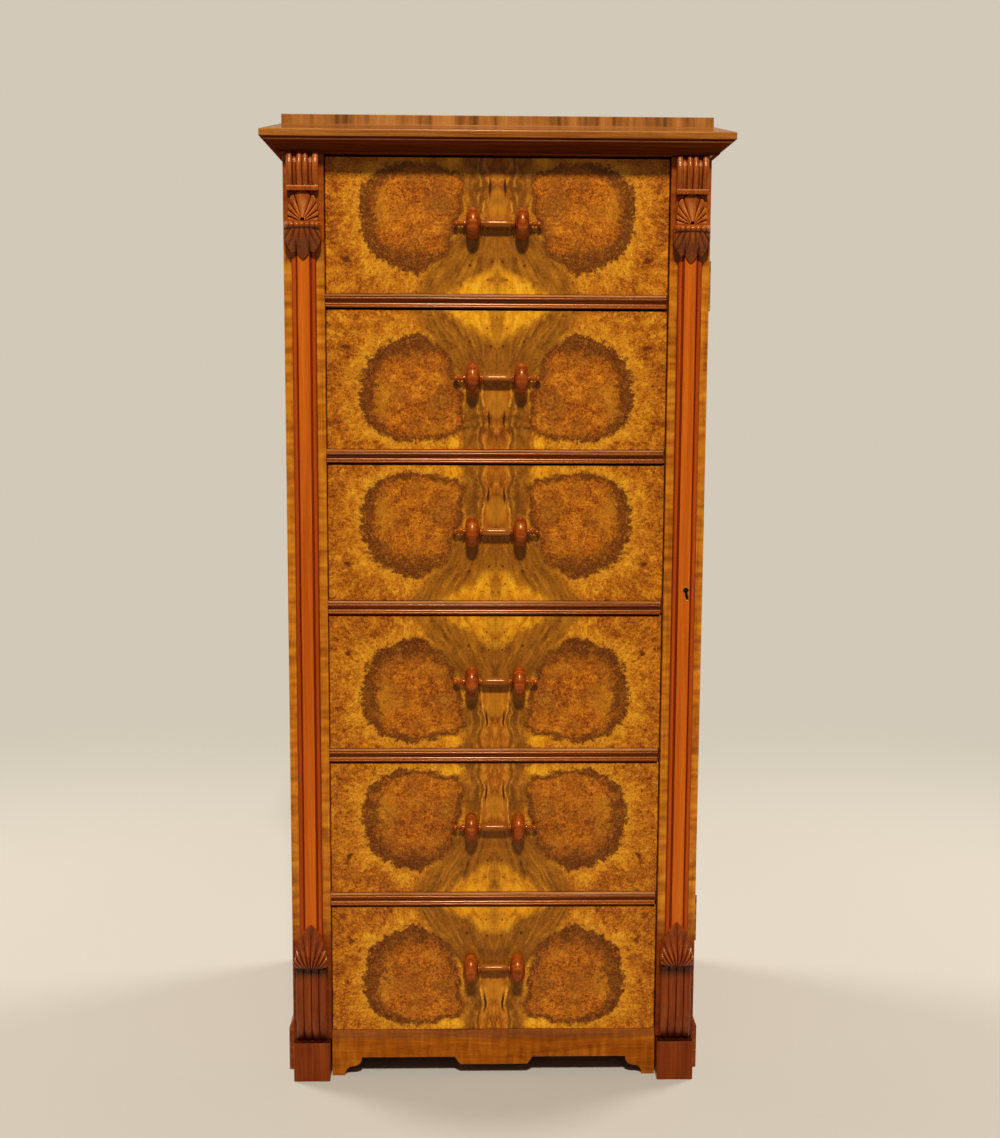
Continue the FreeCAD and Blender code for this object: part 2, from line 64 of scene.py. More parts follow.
# adds a node with its settings, ramp stops or curve points, and values or links; gives back one output
def addNode(tree, kind, inputs=None, out=0, ramp=None, curve=None, **settings):
    node = tree.nodes.new("ShaderNode" + kind)
    for key, value in settings.items():
        setattr(node, key, value)
    if ramp:
        stops = node.color_ramp.elements
        while len(stops) < len(ramp):
            stops.new(0.5)
        for stop, (place, hexColour) in zip(stops, ramp):
            stop.position = place
            stop.color = toLinear(hexColour)
    if curve:
        points = node.mapping.curves[0].points
        while len(points) < len(curve):
            points.new(0.5, 0.5)
        for point, place in zip(points, curve):
            point.location = place
        node.mapping.update()
    for socket, value in (inputs or {}).items():
        if isinstance(value, bpy.types.NodeSocket):
            tree.links.new(value, node.inputs[socket])
        else:
            node.inputs[socket].default_value = value
    return node.outputs[out] if len(node.outputs) else node


smoothStep = {"interpolation_type": "SMOOTHSTEP"}
colourMix = {"out": 2, "data_type": "RGBA"}
inMillimetres = (1000, 1000, 1000)
# turns that lay the grain along an axis
grainTurn = {"X": (0, math.pi / 2, 0), "Y": (math.pi / 2, 0, 0), "Z": (0, 0, 0)}


# an empty material with its shader; surface holds the values that are the same all over
def startMaterial(name, surface):
    material = bpy.data.materials.new(name)
    material.use_nodes = True
    tree = material.node_tree
    tree.nodes.clear()
    add = partial(addNode, tree)
    shader = add("BsdfPrincipled", surface)
    add("OutputMaterial", {"Surface": shader})
    return material, add, shader.node


# joins the colour and the fine relief to a material's shader; depth in mm
def joinSurface(add, shader, colour, height, strength, depth):
    bump = add("Bump", {"Height": height, "Strength": strength, "Distance": depth * mm})
    links = shader.id_data.links
    links.new(colour, shader.inputs["Base Color"])
    links.new(bump, shader.inputs["Normal"])


# surface of a wood: its roughness, its glint with a tint, and a clear film on top with its own roughness
def woodSurface(roughness, glint, tint="#FFFFFF", film=0.0, filmRoughness=0.1):
    return {"Roughness": roughness, "IOR": 1.5, "Specular IOR Level": glint, "Specular Tint": toLinear(tint),
            "Coat Weight": film, "Coat Roughness": filmRoughness, "Coat IOR": 1.5}


# French polish is a thin clear film of shellac, so a soft sheen with a sharper glint on top
# the film is old, thin and amber, so it shows little of its surroundings and its glints are warm
frenchPolish = woodSurface(0.34, 0.24, "#FFCB94", 0.1, 0.12)
rubbedPolish = woodSurface(0.26, 0.4, "#FFB46C", 0.08, 0.1)  # mouldings are rubbed more, so they shine more
waxedCarving = woodSurface(0.3, 0.34, "#FFC890", 0.2, 0.14)  # small glints on waxed ridges
carvedPolish = woodSurface(0.46, 0.24, "#FFC890")  # worn wax, with softer glints
handPolish = woodSurface(0.33, 0.85, "#F0A050", 0.12, 0.1)  # polished by hands, so a warm hot spot
rodPolish = woodSurface(0.3, 0.6, "#F0A050", 0.05, 0.1)
dullPolish = woodSurface(0.45, 0.1, "#FFCB94")  # polish gone flat
dustyPolish = woodSurface(0.7, 0.0)  # dust on old polish, so no glints
rawWood = woodSurface(0.68, 0.35)  # dry wood that was never polished

# mm, the last one along the grain
grainSizes = {"sway": (45, 45, 230), "fibreStretch": 45, "pores": (0.6, 0.6, 7), "bars": (30, 30, 8)}
levelSpan = 1200.0  # mm above the floor, for shades that change with height


# straight-grained wood; sizes in mm: band and its length along the grain, fibre width, sideways wave
def straightGrain(name, stops, axis, surface, band=9, length=260, fibre=1.5, wave=7, ripple=0.0, pores=0.4,
                  calm=0.25, recessShade=None, grooveShade=None, heightShade=None):
    material, add, shader = startMaterial(name, surface)
    place = add("TexCoord", out=3)
    inMm = add("Mapping", {"Vector": place, "Rotation": grainTurn[axis], "Scale": inMillimetres})
    swayAt = add("VectorMath", {0: inMm, 1: [1 / far for far in grainSizes["sway"]]}, operation="MULTIPLY")
    sway = add("TexNoise", {"Vector": swayAt, "Scale": 1.0, "Detail": 2.0}, out=1)
    centred = add("VectorMath", {0: sway, 1: (0.5, 0.5, 0.5)}, operation="SUBTRACT")
    grain = add("VectorMath", {0: centred, 1: (wave * 2, wave * 2, 0), 2: inMm}, operation="MULTIPLY_ADD")
    patterns = {"bands": ((band, band, length), {"Detail": 3.0, "Roughness": 0.55, "Distortion": 0.25}),
                "fibres": ((fibre, fibre, fibre * grainSizes["fibreStretch"]), {"Detail": 3.0}),
                "pores": (grainSizes["pores"], {"Detail": 1.0})}
    if ripple:  # soft bars across the grain, as in figured wood
        patterns["bars"] = (grainSizes["bars"], {"Detail": 1.0})
    fields = {}
    for field, (size, noise) in patterns.items():
        fieldAt = add("VectorMath", {0: grain, 1: [1 / far for far in size]}, operation="MULTIPLY")
        fields[field] = add("TexNoise", {"Vector": fieldAt, "Scale": 1.0, **noise})
    poreMask = add("MapRange", {0: fields["pores"], 1: 0.6, 2: 0.72, 3: 0.0, 4: pores})
    tone = add("Mix", {0: 0.36, 2: fields["bands"], 3: fields["fibres"]})
    tone = add("Mix", {0: calm, 2: tone, 3: 0.51})
    if ripple:
        tone = add("Mix", {0: ripple, 2: tone, 3: fields["bars"]})
    colour = add("ValToRGB", {0: tone}, ramp=stops)
    colour = add("Mix", {0: poreMask, 6: colour, 7: toLinear("#6A4630")}, **colourMix, blend_type="MULTIPLY")
    shades = []
    if grooveShade:  # painted shade in the grooves of a moulding, with darker beads; mm from the pilaster's middle
        middleX, wide, tints = grooveShade
        side = add("SeparateXYZ", {0: place})
        side = add("Math", {0: side, 1: 1000.0}, operation="MULTIPLY")
        side = add("Math", {0: side}, operation="ABSOLUTE")
        side = add("Math", {0: side, 1: middleX}, operation="SUBTRACT")
        side = add("Math", {0: side}, operation="ABSOLUTE")
        side = add("MapRange", {0: side, 1: 0.0, 2: wide})
        shades.append(add("ValToRGB", {0: side}, ramp=[(far / wide, tint) for far, tint in tints]))
    if heightShade:  # painted shade at given heights, beside and under the carvings; mm above the floor
        level = add("SeparateXYZ", {0: place}, out=2)
        level = add("MapRange", {0: level, 1: 0.0, 2: levelSpan * mm})
        shades.append(add("ValToRGB", {0: level}, ramp=[(up / levelSpan, tint) for up, tint in heightShade]))
    if recessShade:  # painted shade in the hollow places of a carving, read from how its surface curves
        point = add("NewGeometry", out=7)
        shades.append(add("ValToRGB", {0: point}, ramp=recessShade))
    for shade in shades:
        colour = add("Mix", {0: 1.0, 6: colour, 7: shade}, **colourMix, blend_type="MULTIPLY")
    height = add("Math", {0: fields["fibres"], 1: poreMask}, operation="SUBTRACT")
    joinSurface(add, shader, colour, height, 0.12, 0.3)
    return material


# flat-sawn boards with arched growth rings; sizes in mm, boards counted from the first edge
def sawnBoards(name, stops, axis, surface, ringGap=7.0, boardWidth=600.0, firstEdge=-300.0, rise=0.16,
               joint=0.0, sway=46.0, fibre=1.1, fibreShare=0.4, stain="#B9A58C", stainHold=0.8):
    material, add, shader = startMaterial(name, surface)
    place = add("TexCoord", out=3)
    inMm = add("Mapping", {"Vector": place, "Rotation": grainTurn[axis], "Scale": inMillimetres})
    axes = add("SeparateXYZ", {0: inMm}).node.outputs
    across = add("Math", {0: axes[0], 1: axes[1]}, operation="ADD")
    across = add("Math", {0: across, 1: firstEdge}, operation="SUBTRACT")
    board = add("Math", {0: across, 1: boardWidth}, operation="DIVIDE")
    number = add("Math", {0: board}, operation="FLOOR")
    share = add("Math", {0: board}, operation="FRACT")
    chance = add("TexWhiteNoise", {"W": number}, out=1, noise_dimensions="1D")
    chances = add("SeparateXYZ", {0: chance}).node.outputs

    # each board has its own heart line, leaning against the face, so its rings cut the face in arches
    heart = add("MapRange", {0: chances[0], 3: 0.3, 4: 0.7})
    aside = add("Math", {0: share, 1: heart}, operation="SUBTRACT")
    aside = add("Math", {0: aside, 1: boardWidth}, operation="MULTIPLY")
    start = add("Math", {0: chances[1], 1: 700.0}, operation="MULTIPLY")
    deep = add("Math", {0: axes[2], 1: start}, operation="ADD")
    deep = add("Math", {0: deep, 1: rise, 2: 60.0}, operation="MULTIPLY_ADD")
    ownPlace = add("CombineXYZ", {0: across, 1: start, 2: axes[2]})
    swayAt = add("VectorMath", {0: ownPlace, 1: (1 / 70, 1 / 9, 1 / 210)}, operation="MULTIPLY")
    wander = add("TexNoise", {"Vector": swayAt, "Scale": 1.0, "Detail": 3.0})
    spread = add("CombineXYZ", {0: aside, 1: deep})
    spread = add("VectorMath", {0: spread}, out=1, operation="LENGTH")
    ringAt = add("Math", {0: wander, 1: sway, 2: spread}, operation="MULTIPLY_ADD")
    ringAt = add("Math", {0: ringAt, 1: ringGap}, operation="DIVIDE")
    ring = add("Math", {0: ringAt}, operation="FRACT")
    yearAt = add("Math", {0: ringAt}, operation="FLOOR")
    year = add("TexWhiteNoise", {"W": yearAt}, noise_dimensions="1D")
    late = add("ValToRGB", {0: ring}, ramp=[(0.0, "#C8C8C8"), (0.12, "#F4F4F4"), (0.55, "#D2D2D2"),
                                            (0.86, "#787878"), (0.97, "#6A6A6A")])
    lateHold = add("MapRange", {0: year, 3: 0.35, 4: 0.85})
    ringTone = add("Mix", {0: lateHold, 2: 0.55, 3: late})

    fibreAt = add("VectorMath", {0: ownPlace, 1: (1 / fibre, 1 / 7, 1 / (fibre * 70))}, operation="MULTIPLY")
    fibres = add("TexNoise", {"Vector": fibreAt, "Scale": 1.0, "Detail": 3.0, "Roughness": 0.6})
    tone = add("Mix", {0: fibreShare, 2: ringTone, 3: fibres})
    colour = add("ValToRGB", {0: tone}, ramp=stops)
    hue = add("MapRange", {0: chances[2], 3: 0.0, 4: 0.35})
    colour = add("Mix", {0: hue, 6: colour, 7: toLinear(stops[1][1])}, **colourMix)
    stainAt = add("VectorMath", {0: inMm, 1: (1 / 120, 1 / 120, 1 / 260)}, operation="MULTIPLY")
    stained = add("TexNoise", {"Vector": stainAt, "Scale": 1.0, "Detail": 4.0, "Roughness": 0.6})
    stained = add("MapRange", {0: stained, 1: 0.46, 2: 0.68, 3: 0.0, 4: stainHold})
    colour = add("Mix", {0: stained, 6: colour, 7: toLinear(stain)}, **colourMix, blend_type="MULTIPLY")
    height = fibres
    if joint:  # dark gap between neighbouring boards
        gapShare = joint / boardWidth
        gap = add("Math", {0: share, 1: 0.5}, operation="SUBTRACT")
        gap = add("Math", {0: gap}, operation="ABSOLUTE")
        gap = add("MapRange", {0: gap, 1: 0.5 - gapShare, 2: 0.5 - 0.4 * gapShare})
        colour = add("Mix", {0: gap, 6: colour, 7: toLinear("#2E2114")}, **colourMix)
        height = add("Math", {0: fibres, 1: gap}, operation="SUBTRACT")
    joinSurface(add, shader, colour, height, 0.2, 0.4)
    return material


# figure of the burr veneer on one front, in mm from its middle: half of it, mirrored at the middle
burrFigure = {
    "middle": (103, 9), "rimSize": 84.0, "bandSize": 30.0, "eye": (66, 23), "eyeRing": 5.6,
    "patch": (139, 20), "patchSize": (11, 24), "corner": (55, 75), "cornerSize": (16, 8),
    "slit": (10.5, 45), "slitSize": (2.0, 14.0),
    "oval": (0, 27), "ovalSize": (17, 21), "sheetStep": 4.0, "slowPush": 11, "quickPush": 9, "blotPush": 4.2,
    "hairWidth": 1.9, "hairLength": 10, "hairRadius": 66, "streakCount": 16.0, "streakLength": 34,
    # turn round the burr's middle in degrees, its rim's distance there, and the dark band's depth inside it
    "rim": [(-180, 58.5, 9), (-159, 56.6, 9), (-138, 61.6, 11), (-117, 61.7, 16), (-90, 66, 26),
            (-75, 63, 24), (-57, 61.6, 20), (-40, 63.1, 18), (-8, 62.6, 20), (12, 64.5, 20), (37, 69.2, 15),
            (50, 68.9, 13), (80, 67.5, 8), (99, 66.9, 6), (125, 73.8, 6), (142, 79, 6), (149, 73, 7),
            (158, 66.3, 9), (170, 62, 9), (180, 58.5, 9)],
    "vaseEnd": 83, "vaseWide": 20,
    "vase": [(-83, 15), (-62, 11), (-45, 8), (-22, 14), (0, 19), (20, 20), (35, 18), (47, 15), (56, 16),
             (66, 18), (76, 18), (83, 16)],
    # lines along the vase's outline: how far out, half width, colour and strength
    "strokes": [(0.6, 1.5, "#5A2A02", 0.7), (-2.6, 1.9, "#DA9C2C", 0.85), (4.6, 1.4, "#CC8C24", 0.5)],
    "knots": [(180, -38, 4.6), (33, -46, 2.2), (8, -43, 1.8), (10, -64, 1.6)],
    # size of each pattern; the real specks are under 1 mm, and drawn coarser so that they still show
    "evenFields": {"slow": (30, {"Detail": 2.0}), "quick": (5, {"Detail": 4.0, "Roughness": 0.6}),
                   "blots": (10, {"Detail": 4.0, "Roughness": 0.65}),
                   "specks": (2.8, {"Detail": 3.0, "Roughness": 0.7, "Distortion": 0.8})},
    "raggedFields": {"cloud": ((17, 17, 17), {"Detail": 6.0, "Roughness": 0.7, "Distortion": 0.35}),
                     "flecks": ((4.2, 8, 4.2), {"Detail": 2.0, "Distortion": 1.5}),
                     "smoke": ((9, 20, 15), {"Detail": 3.0, "Distortion": 0.6}),
                     "threads": ((7, 7, 7), {"Detail": 1.0, "Distortion": 1.6}),
                     "vaseGrain": ((5, 20, 16), {"Detail": 5.0, "Roughness": 0.62, "Distortion": 0.4})}}
burrTones = {
    "outside": [(0.39, "#602602"), (0.45, "#8C4206"), (0.5, "#AC5E0B"), (0.55, "#C27612"), (0.62, "#DC981E")],
    "inside": [(0.39, "#5A2002"), (0.45, "#883D05"), (0.5, "#A85509"), (0.55, "#BE6A0F"), (0.61, "#D48618")],
    "band": [(0.37, "#381201"), (0.45, "#4E1F02"), (0.53, "#602A04"), (0.63, "#783C09")],
    "wing": [(0.37, "#552E05"), (0.46, "#7E480A"), (0.54, "#9A5A0E"), (0.64, "#BA7616")],
    "flame": [(0.38, "#A85E08"), (0.46, "#CE7E0E"), (0.54, "#E49A16"), (0.64, "#F2B42A")],
    "vase": [(0.39, "#6C3404"), (0.46, "#944C08"), (0.53, "#B26210"), (0.61, "#D0841E")]}


# soft spot of the figure: hold in its middle, nothing outside; fade is where it ends and where it is full
def softSpot(add, place, middle, size, fade, hold):
    away = add("VectorMath", {0: place, 1: (middle[0], 0, middle[1])}, operation="SUBTRACT")
    away = add("VectorMath", {0: away, 1: (1 / size[0], 0, 1 / size[1])}, operation="MULTIPLY")
    far = add("VectorMath", {0: away}, out=1, operation="LENGTH")
    return add("MapRange", {0: far, 1: fade[0], 2: fade[1], 3: 0.0, 4: hold}, **smoothStep)


# book-matched burr walnut: dark-rimmed burrs in golden mottled wood, with smooth darker wings up the middle
def burrVeneer(name, middleZ, upright, sheet):
    fig = burrFigure
    material, add, shader = startMaterial(name, frenchPolish)
    place = add("TexCoord", out=3)
    way = 1 if upright else -1
    inMm = add("Mapping", {"Vector": place, "Scale": (1000, 1000, 1000 * way),
                           "Location": (0, sheet * fig["sheetStep"], -1000 * way * middleZ)})
    axes = add("SeparateXYZ", {0: inMm}).node.outputs
    across = add("Math", {0: axes[0]}, operation="ABSOLUTE")
    half = add("CombineXYZ", {0: across, 1: axes[1], 2: axes[2]})

    # slow and quick wandering of every line
    even = {}
    for field, (size, noise) in fig["evenFields"].items():
        fieldAt = add("VectorMath", {0: half, "Scale": 1 / size}, operation="SCALE")
        even[field] = add("TexNoise", {"Vector": fieldAt, "Scale": 1.0, **noise}).node.outputs
    specks = even["specks"][0]
    slowPush, quickPush = fig["slowPush"], fig["quickPush"]
    slow = add("VectorMath", {0: even["slow"][1], 1: (0.5, 0.5, 0.5)}, operation="SUBTRACT")
    swayed = add("VectorMath", {0: slow, 1: (slowPush, 0, slowPush), 2: half}, operation="MULTIPLY_ADD")
    quick = add("VectorMath", {0: even["quick"][1], 1: (0.5, 0.5, 0.5)}, operation="SUBTRACT")
    ragged = add("VectorMath", {0: quick, 1: (quickPush, 0, quickPush), 2: swayed}, operation="MULTIPLY_ADD")
    smoothAxes = add("SeparateXYZ", {0: swayed}).node.outputs
    u, v = smoothAxes[0], smoothAxes[2]
    raggedAxes = add("SeparateXYZ", {0: ragged}).node.outputs
    fields = {}
    for field, (size, noise) in fig["raggedFields"].items():
        fieldAt = add("VectorMath", {0: ragged, 1: [1 / far for far in size]}, operation="MULTIPLY")
        fields[field] = add("TexNoise", {"Vector": fieldAt, "Scale": 1.0, **noise})
    cloud = fields["cloud"]

    # how far a point lies from the burr's middle, and which way; fine hairs run out from it
    offset = add("VectorMath", {0: ragged, 1: (fig["middle"][0], 0, fig["middle"][1])}, operation="SUBTRACT")
    offset = add("VectorMath", {0: offset, 1: (1, 0, 1)}, operation="MULTIPLY")
    reach = add("VectorMath", {0: offset}, out=1, operation="LENGTH")
    ways = add("SeparateXYZ", {0: offset}).node.outputs
    turn = add("Math", {0: ways[2], 1: ways[0]}, operation="ARCTAN2")
    hairU = add("Math", {0: turn, 1: fig["hairRadius"] / fig["hairWidth"]}, operation="MULTIPLY")
    hairV = add("Math", {0: reach, 1: 1 / fig["hairLength"]}, operation="MULTIPLY")
    hairAt = add("CombineXYZ", {0: hairU, 1: hairV, 2: axes[1]})
    hairs = add("TexNoise", {"Vector": hairAt, "Scale": 1.0, "Detail": 3.0, "Roughness": 0.6,
                             "Distortion": 0.5})
    turnShare = add("MapRange", {0: turn, 1: -math.pi, 2: math.pi})
    rimCurve = [((angle + 180) / 360, far / fig["rimSize"]) for angle, far, deep in fig["rim"]]
    rim = add("FloatCurve", {"Value": turnShare}, curve=rimCurve)
    bandCurve = [((angle + 180) / 360, deep / fig["bandSize"]) for angle, far, deep in fig["rim"]]
    bandDeep = add("FloatCurve", {"Value": turnShare}, curve=bandCurve)
    edge = add("Math", {0: rim, 1: -fig["rimSize"], 2: reach}, operation="MULTIPLY_ADD")
    # the rim is blotchy and crisp on its outer side, and melts a little into the wing on its inner side
    outward = add("MapRange", {0: ways[0], 1: -44.0, 2: 12.0}, **smoothStep)
    fur = add("MapRange", {0: hairs, 1: 0.3, 2: 0.7, 3: -1.0, 4: 1.0})
    furLength = add("Math", {0: outward, 1: 1.0, 2: 0.5}, operation="MULTIPLY_ADD")
    furEdge = add("Math", {0: fur, 1: furLength, 2: edge}, operation="MULTIPLY_ADD")
    blots = add("MapRange", {0: even["blots"][0], 1: 0.3, 2: 0.7, 3: -fig["blotPush"], 4: fig["blotPush"]})
    furEdge = add("Math", {0: furEdge, 1: blots}, operation="ADD")
    melt = add("MapRange", {0: outward, 3: 3.6, 4: 2.4})
    within = add("Math", {0: furEdge, 1: melt}, operation="DIVIDE")
    within = add("MapRange", {0: within, 1: 1.0, 2: -1.0}, **smoothStep)
    bandShare = add("Math", {0: bandDeep, 1: fig["bandSize"]}, operation="MULTIPLY")
    bandShare = add("Math", {0: furEdge, 1: bandShare}, operation="DIVIDE")
    bandShare = add("Math", {0: cloud, 1: 5.6, 2: bandShare}, operation="MULTIPLY_ADD")
    bandIn = add("MapRange", {0: bandShare, 1: 1.35, 2: 2.2}, **smoothStep)
    bandHold = add("MapRange", {0: outward, 3: 0.92, 4: 0.96})
    bandIn = add("Math", {0: bandIn, 1: bandHold}, operation="MULTIPLY")

    # mottle: soft clouds that break up into fine grain and specks, lighter in a halo round the burr
    halo = add("MapRange", {0: edge, 1: 34.0, 2: 0.0, 3: -0.014, 4: 0.05}, **smoothStep)
    outTone = add("Mix", {0: 0.4, 2: cloud, 3: hairs})
    outTone = add("Mix", {0: 0.36, 2: outTone, 3: specks})
    outTone = add("Math", {0: outTone, 1: halo}, operation="ADD")
    inTone = add("Mix", {0: 0.52, 2: cloud, 3: specks})
    outside = add("ValToRGB", {0: outTone}, ramp=burrTones["outside"])
    inside = add("ValToRGB", {0: inTone}, ramp=burrTones["inside"])
    band = add("ValToRGB", {0: inTone}, ramp=burrTones["band"])

    # inside the burr: browner clouds, a pale patch, and a dark eye with rings round it
    tint = add("SeparateXYZ", {0: slow}, out=1)
    tint = add("MapRange", {0: tint, 1: -0.06, 2: 0.12, 3: 0.0, 4: 0.5})
    patch = softSpot(add, ragged, fig["patch"], fig["patchSize"], (1.5, 0.3), 0.34)
    eyeAt = add("VectorMath", {0: ragged, 1: (fig["eye"][0], 0, fig["eye"][1])}, operation="SUBTRACT")
    eyeAt = add("VectorMath", {0: eyeAt, 1: (1, 0, 1)}, operation="MULTIPLY")
    eyeReach = add("VectorMath", {0: eyeAt}, out=1, operation="LENGTH")
    eyeSpot = add("MapRange", {0: eyeReach, 1: 19.0, 2: 5.0, 3: 0.0, 4: 0.5}, **smoothStep)
    eyeRings = add("Math", {0: eyeReach, 1: 2 * math.pi / fig["eyeRing"]}, operation="MULTIPLY")
    eyeRings = add("Math", {0: eyeRings}, operation="COSINE")
    eyeFade = add("MapRange", {0: eyeReach, 1: 40.0, 2: 10.0, 3: 0.0, 4: 0.5})
    eyeRings = add("Math", {0: eyeRings, 1: eyeFade}, operation="MULTIPLY", use_clamp=True)
    for mask, stain in ((tint, "#86480C"), (patch, "#CB8416"), (eyeSpot, "#744010"), (eyeRings, "#632A02")):
        inside = add("Mix", {0: mask, 6: inside, 7: toLinear(stain)}, **colourMix)
    inside = add("Mix", {0: bandIn, 6: inside, 7: band}, **colourMix)

    # smooth wings that fan down and out from the handle, with streaks along them
    down = add("Math", {0: v, 1: -0.78, 2: 39.2}, operation="MULTIPLY_ADD")
    up = add("Math", {0: v, 1: 0.12, 2: 36.0}, operation="MULTIPLY_ADD")
    wingOut = add("Math", {0: down, 1: up}, operation="MAXIMUM")
    wingIn = add("MapRange", {0: v, 1: -8.0, 2: 14.0, 3: -14.0, 4: 15.0})
    span = add("Math", {0: wingOut, 1: wingIn}, operation="SUBTRACT")
    over = add("Math", {0: u, 1: wingIn}, operation="SUBTRACT")
    wingShare = add("Math", {0: over, 1: span}, operation="DIVIDE")
    wing = add("MapRange", {0: wingShare, 1: 1.08, 2: 0.94}, **smoothStep)
    streakU = add("Math", {0: wingShare, 1: fig["streakCount"]}, operation="MULTIPLY")
    streakV = add("Math", {0: v, 1: 1 / fig["streakLength"]}, operation="MULTIPLY")
    streakAt = add("CombineXYZ", {0: streakU, 1: streakV, 2: axes[1]})
    streaks = add("TexNoise", {"Vector": streakAt, "Scale": 1.0, "Detail": 5.0, "Roughness": 0.65,
                               "Distortion": 0.4})
    wingTone = add("Mix", {0: 0.25, 2: streaks, 3: cloud})
    wingTone = add("Mix", {0: 0.18, 2: wingTone, 3: specks})
    wingColour = add("ValToRGB", {0: wingTone}, ramp=burrTones["wing"])

    # the wings are darker under the handle; above it they are golden beside the rim and dark beside the vase
    shadeNear = add("MapRange", {0: v, 1: -62.0, 2: -12.0, 3: 0.0, 4: 0.42}, **smoothStep)
    smoke = add("MapRange", {0: fields["smoke"], 1: 0.4, 2: 0.6})
    sheen = add("MapRange", {0: v, 1: 0.0, 2: 22.0, 3: 0.0, 4: 0.75}, **smoothStep)
    sheen = add("Math", {0: sheen, 1: smoke}, operation="MULTIPLY")
    dusk = add("MapRange", {0: v, 1: 8.0, 2: 34.0, 3: 0.0, 4: 0.95}, **smoothStep)
    clearing = add("MapRange", {0: fields["smoke"], 1: 0.4, 2: 0.6, 3: 1.0, 4: 0.5})
    byVase = add("MapRange", {0: raggedAxes[0], 1: 37.0, 2: 27.0, 3: 0.1, 4: 1.0}, **smoothStep)
    dusk = add("Math", {0: dusk, 1: clearing}, operation="MULTIPLY")
    dusk = add("Math", {0: dusk, 1: byVase}, operation="MULTIPLY")
    for mask, stain in ((shadeNear, "#6C3807"), (sheen, "#C27418"), (dusk, "#643407")):
        wingColour = add("Mix", {0: mask, 6: wingColour, 7: toLinear(stain)}, **colourMix)
    wingHold = add("Math", {0: wing, 1: 0.92}, operation="MULTIPLY")
    outside = add("Mix", {0: wingHold, 6: outside, 7: wingColour}, **colourMix)

    # bright flames at the lower edge and in the upper corners beside the vase
    flameEdge = add("Math", {0: raggedAxes[0], 1: 0.62, 2: raggedAxes[2]}, operation="MULTIPLY_ADD")
    flameRise = add("MapRange", {0: flameEdge, 1: -36.0, 2: -52.0}, **smoothStep)
    flameIn = add("MapRange", {0: raggedAxes[0], 1: 1.0, 2: 12.0, 3: 0.4, 4: 1.0}, **smoothStep)
    flame = add("Math", {0: flameRise, 1: flameIn}, operation="MULTIPLY")
    corner = softSpot(add, ragged, fig["corner"], fig["cornerSize"], (1.25, 0.5), 1.0)
    flame = add("Math", {0: flame, 1: corner}, operation="MAXIMUM")
    flame = add("Math", {0: flame, 1: 0.92}, operation="MULTIPLY")
    flameTone = add("Mix", {0: 0.5, 2: streaks, 3: cloud})
    flameColour = add("ValToRGB", {0: flameTone}, ramp=burrTones["flame"])
    outside = add("Mix", {0: flame, 6: outside, 7: flameColour}, **colourMix)

    # a pale line runs round the burr, just outside its rim
    lineAt = add("Math", {0: furEdge, 1: 3.2}, operation="SUBTRACT")
    lineAt = add("Math", {0: lineAt}, operation="ABSOLUTE")
    rimLine = add("MapRange", {0: lineAt, 1: 3.0, 2: 0.0, 3: 0.0, 4: 0.42}, **smoothStep)
    rimLine = add("Math", {0: rimLine, 1: outward}, operation="MULTIPLY")
    outside = add("Mix", {0: rimLine, 6: outside, 7: toLinear("#C6801A")}, **colourMix)
    colour = add("Mix", {0: within, 6: outside, 7: inside}, **colourMix)

    # short dark flecks, and bright threads that curl through the mottled wood but not through the wings
    flecks = add("MapRange", {0: fields["flecks"], 1: 0.58, 2: 0.7, 3: 0.0, 4: 0.62}, **smoothStep)
    threads = add("Math", {0: fields["threads"], 1: 0.5}, operation="SUBTRACT")
    threads = add("Math", {0: threads}, operation="ABSOLUTE")
    threads = add("MapRange", {0: threads, 1: 0.035, 2: 0.0, 3: 0.0, 4: 0.34})
    smoothHere = add("Math", {0: 1.0, 1: within}, operation="SUBTRACT")
    smoothHere = add("Math", {0: smoothHere, 1: wing}, operation="MULTIPLY")
    mottled = add("Math", {0: 1.0, 1: smoothHere}, operation="SUBTRACT")
    threads = add("Math", {0: threads, 1: mottled}, operation="MULTIPLY")
    for mask, stain in ((threads, "#D88E22"), (flecks, "#5A2402")):
        colour = add("Mix", {0: mask, 6: colour, 7: toLinear(stain)}, **colourMix)

    # the pale vase above the handle, with a dark line and pale lines along its uneven outline
    vaseEnd, vaseWide = fig["vaseEnd"], fig["vaseWide"]
    vaseV = add("MapRange", {0: v, 1: -vaseEnd, 2: vaseEnd})
    vaseCurve = [((z + vaseEnd) / (2 * vaseEnd), x / vaseWide) for z, x in fig["vase"]]
    vaseHalf = add("FloatCurve", {"Value": vaseV}, curve=vaseCurve)
    uneven = add("Mix", {0: 0.6, 2: u, 3: raggedAxes[0]})
    fromVase = add("Math", {0: vaseHalf, 1: -vaseWide, 2: uneven}, operation="MULTIPLY_ADD")
    above = add("MapRange", {0: v, 1: -14.0, 2: 8.0, 3: 0.1, 4: 1.0}, **smoothStep)
    vase = add("MapRange", {0: fromVase, 1: 1.2, 2: -1.2, 3: 0.0, 4: 0.8}, **smoothStep)
    vase = add("Math", {0: vase, 1: above}, operation="MULTIPLY")
    vaseTone = add("Mix", {0: 0.4, 2: fields["vaseGrain"], 3: cloud})
    vaseColour = add("ValToRGB", {0: vaseTone}, ramp=burrTones["vase"])
    oval = softSpot(add, swayed, fig["oval"], fig["ovalSize"], (1.0, 0.5), 0.4)
    vaseColour = add("Mix", {0: oval, 6: vaseColour, 7: toLinear("#DA8E1C")}, **colourMix)
    colour = add("Mix", {0: vase, 6: colour, 7: vaseColour}, **colourMix)
    for strokeAt, strokeWide, stain, hold in fig["strokes"]:
        away = add("Math", {0: fromVase, 1: strokeAt}, operation="SUBTRACT")
        away = add("Math", {0: away}, operation="ABSOLUTE")
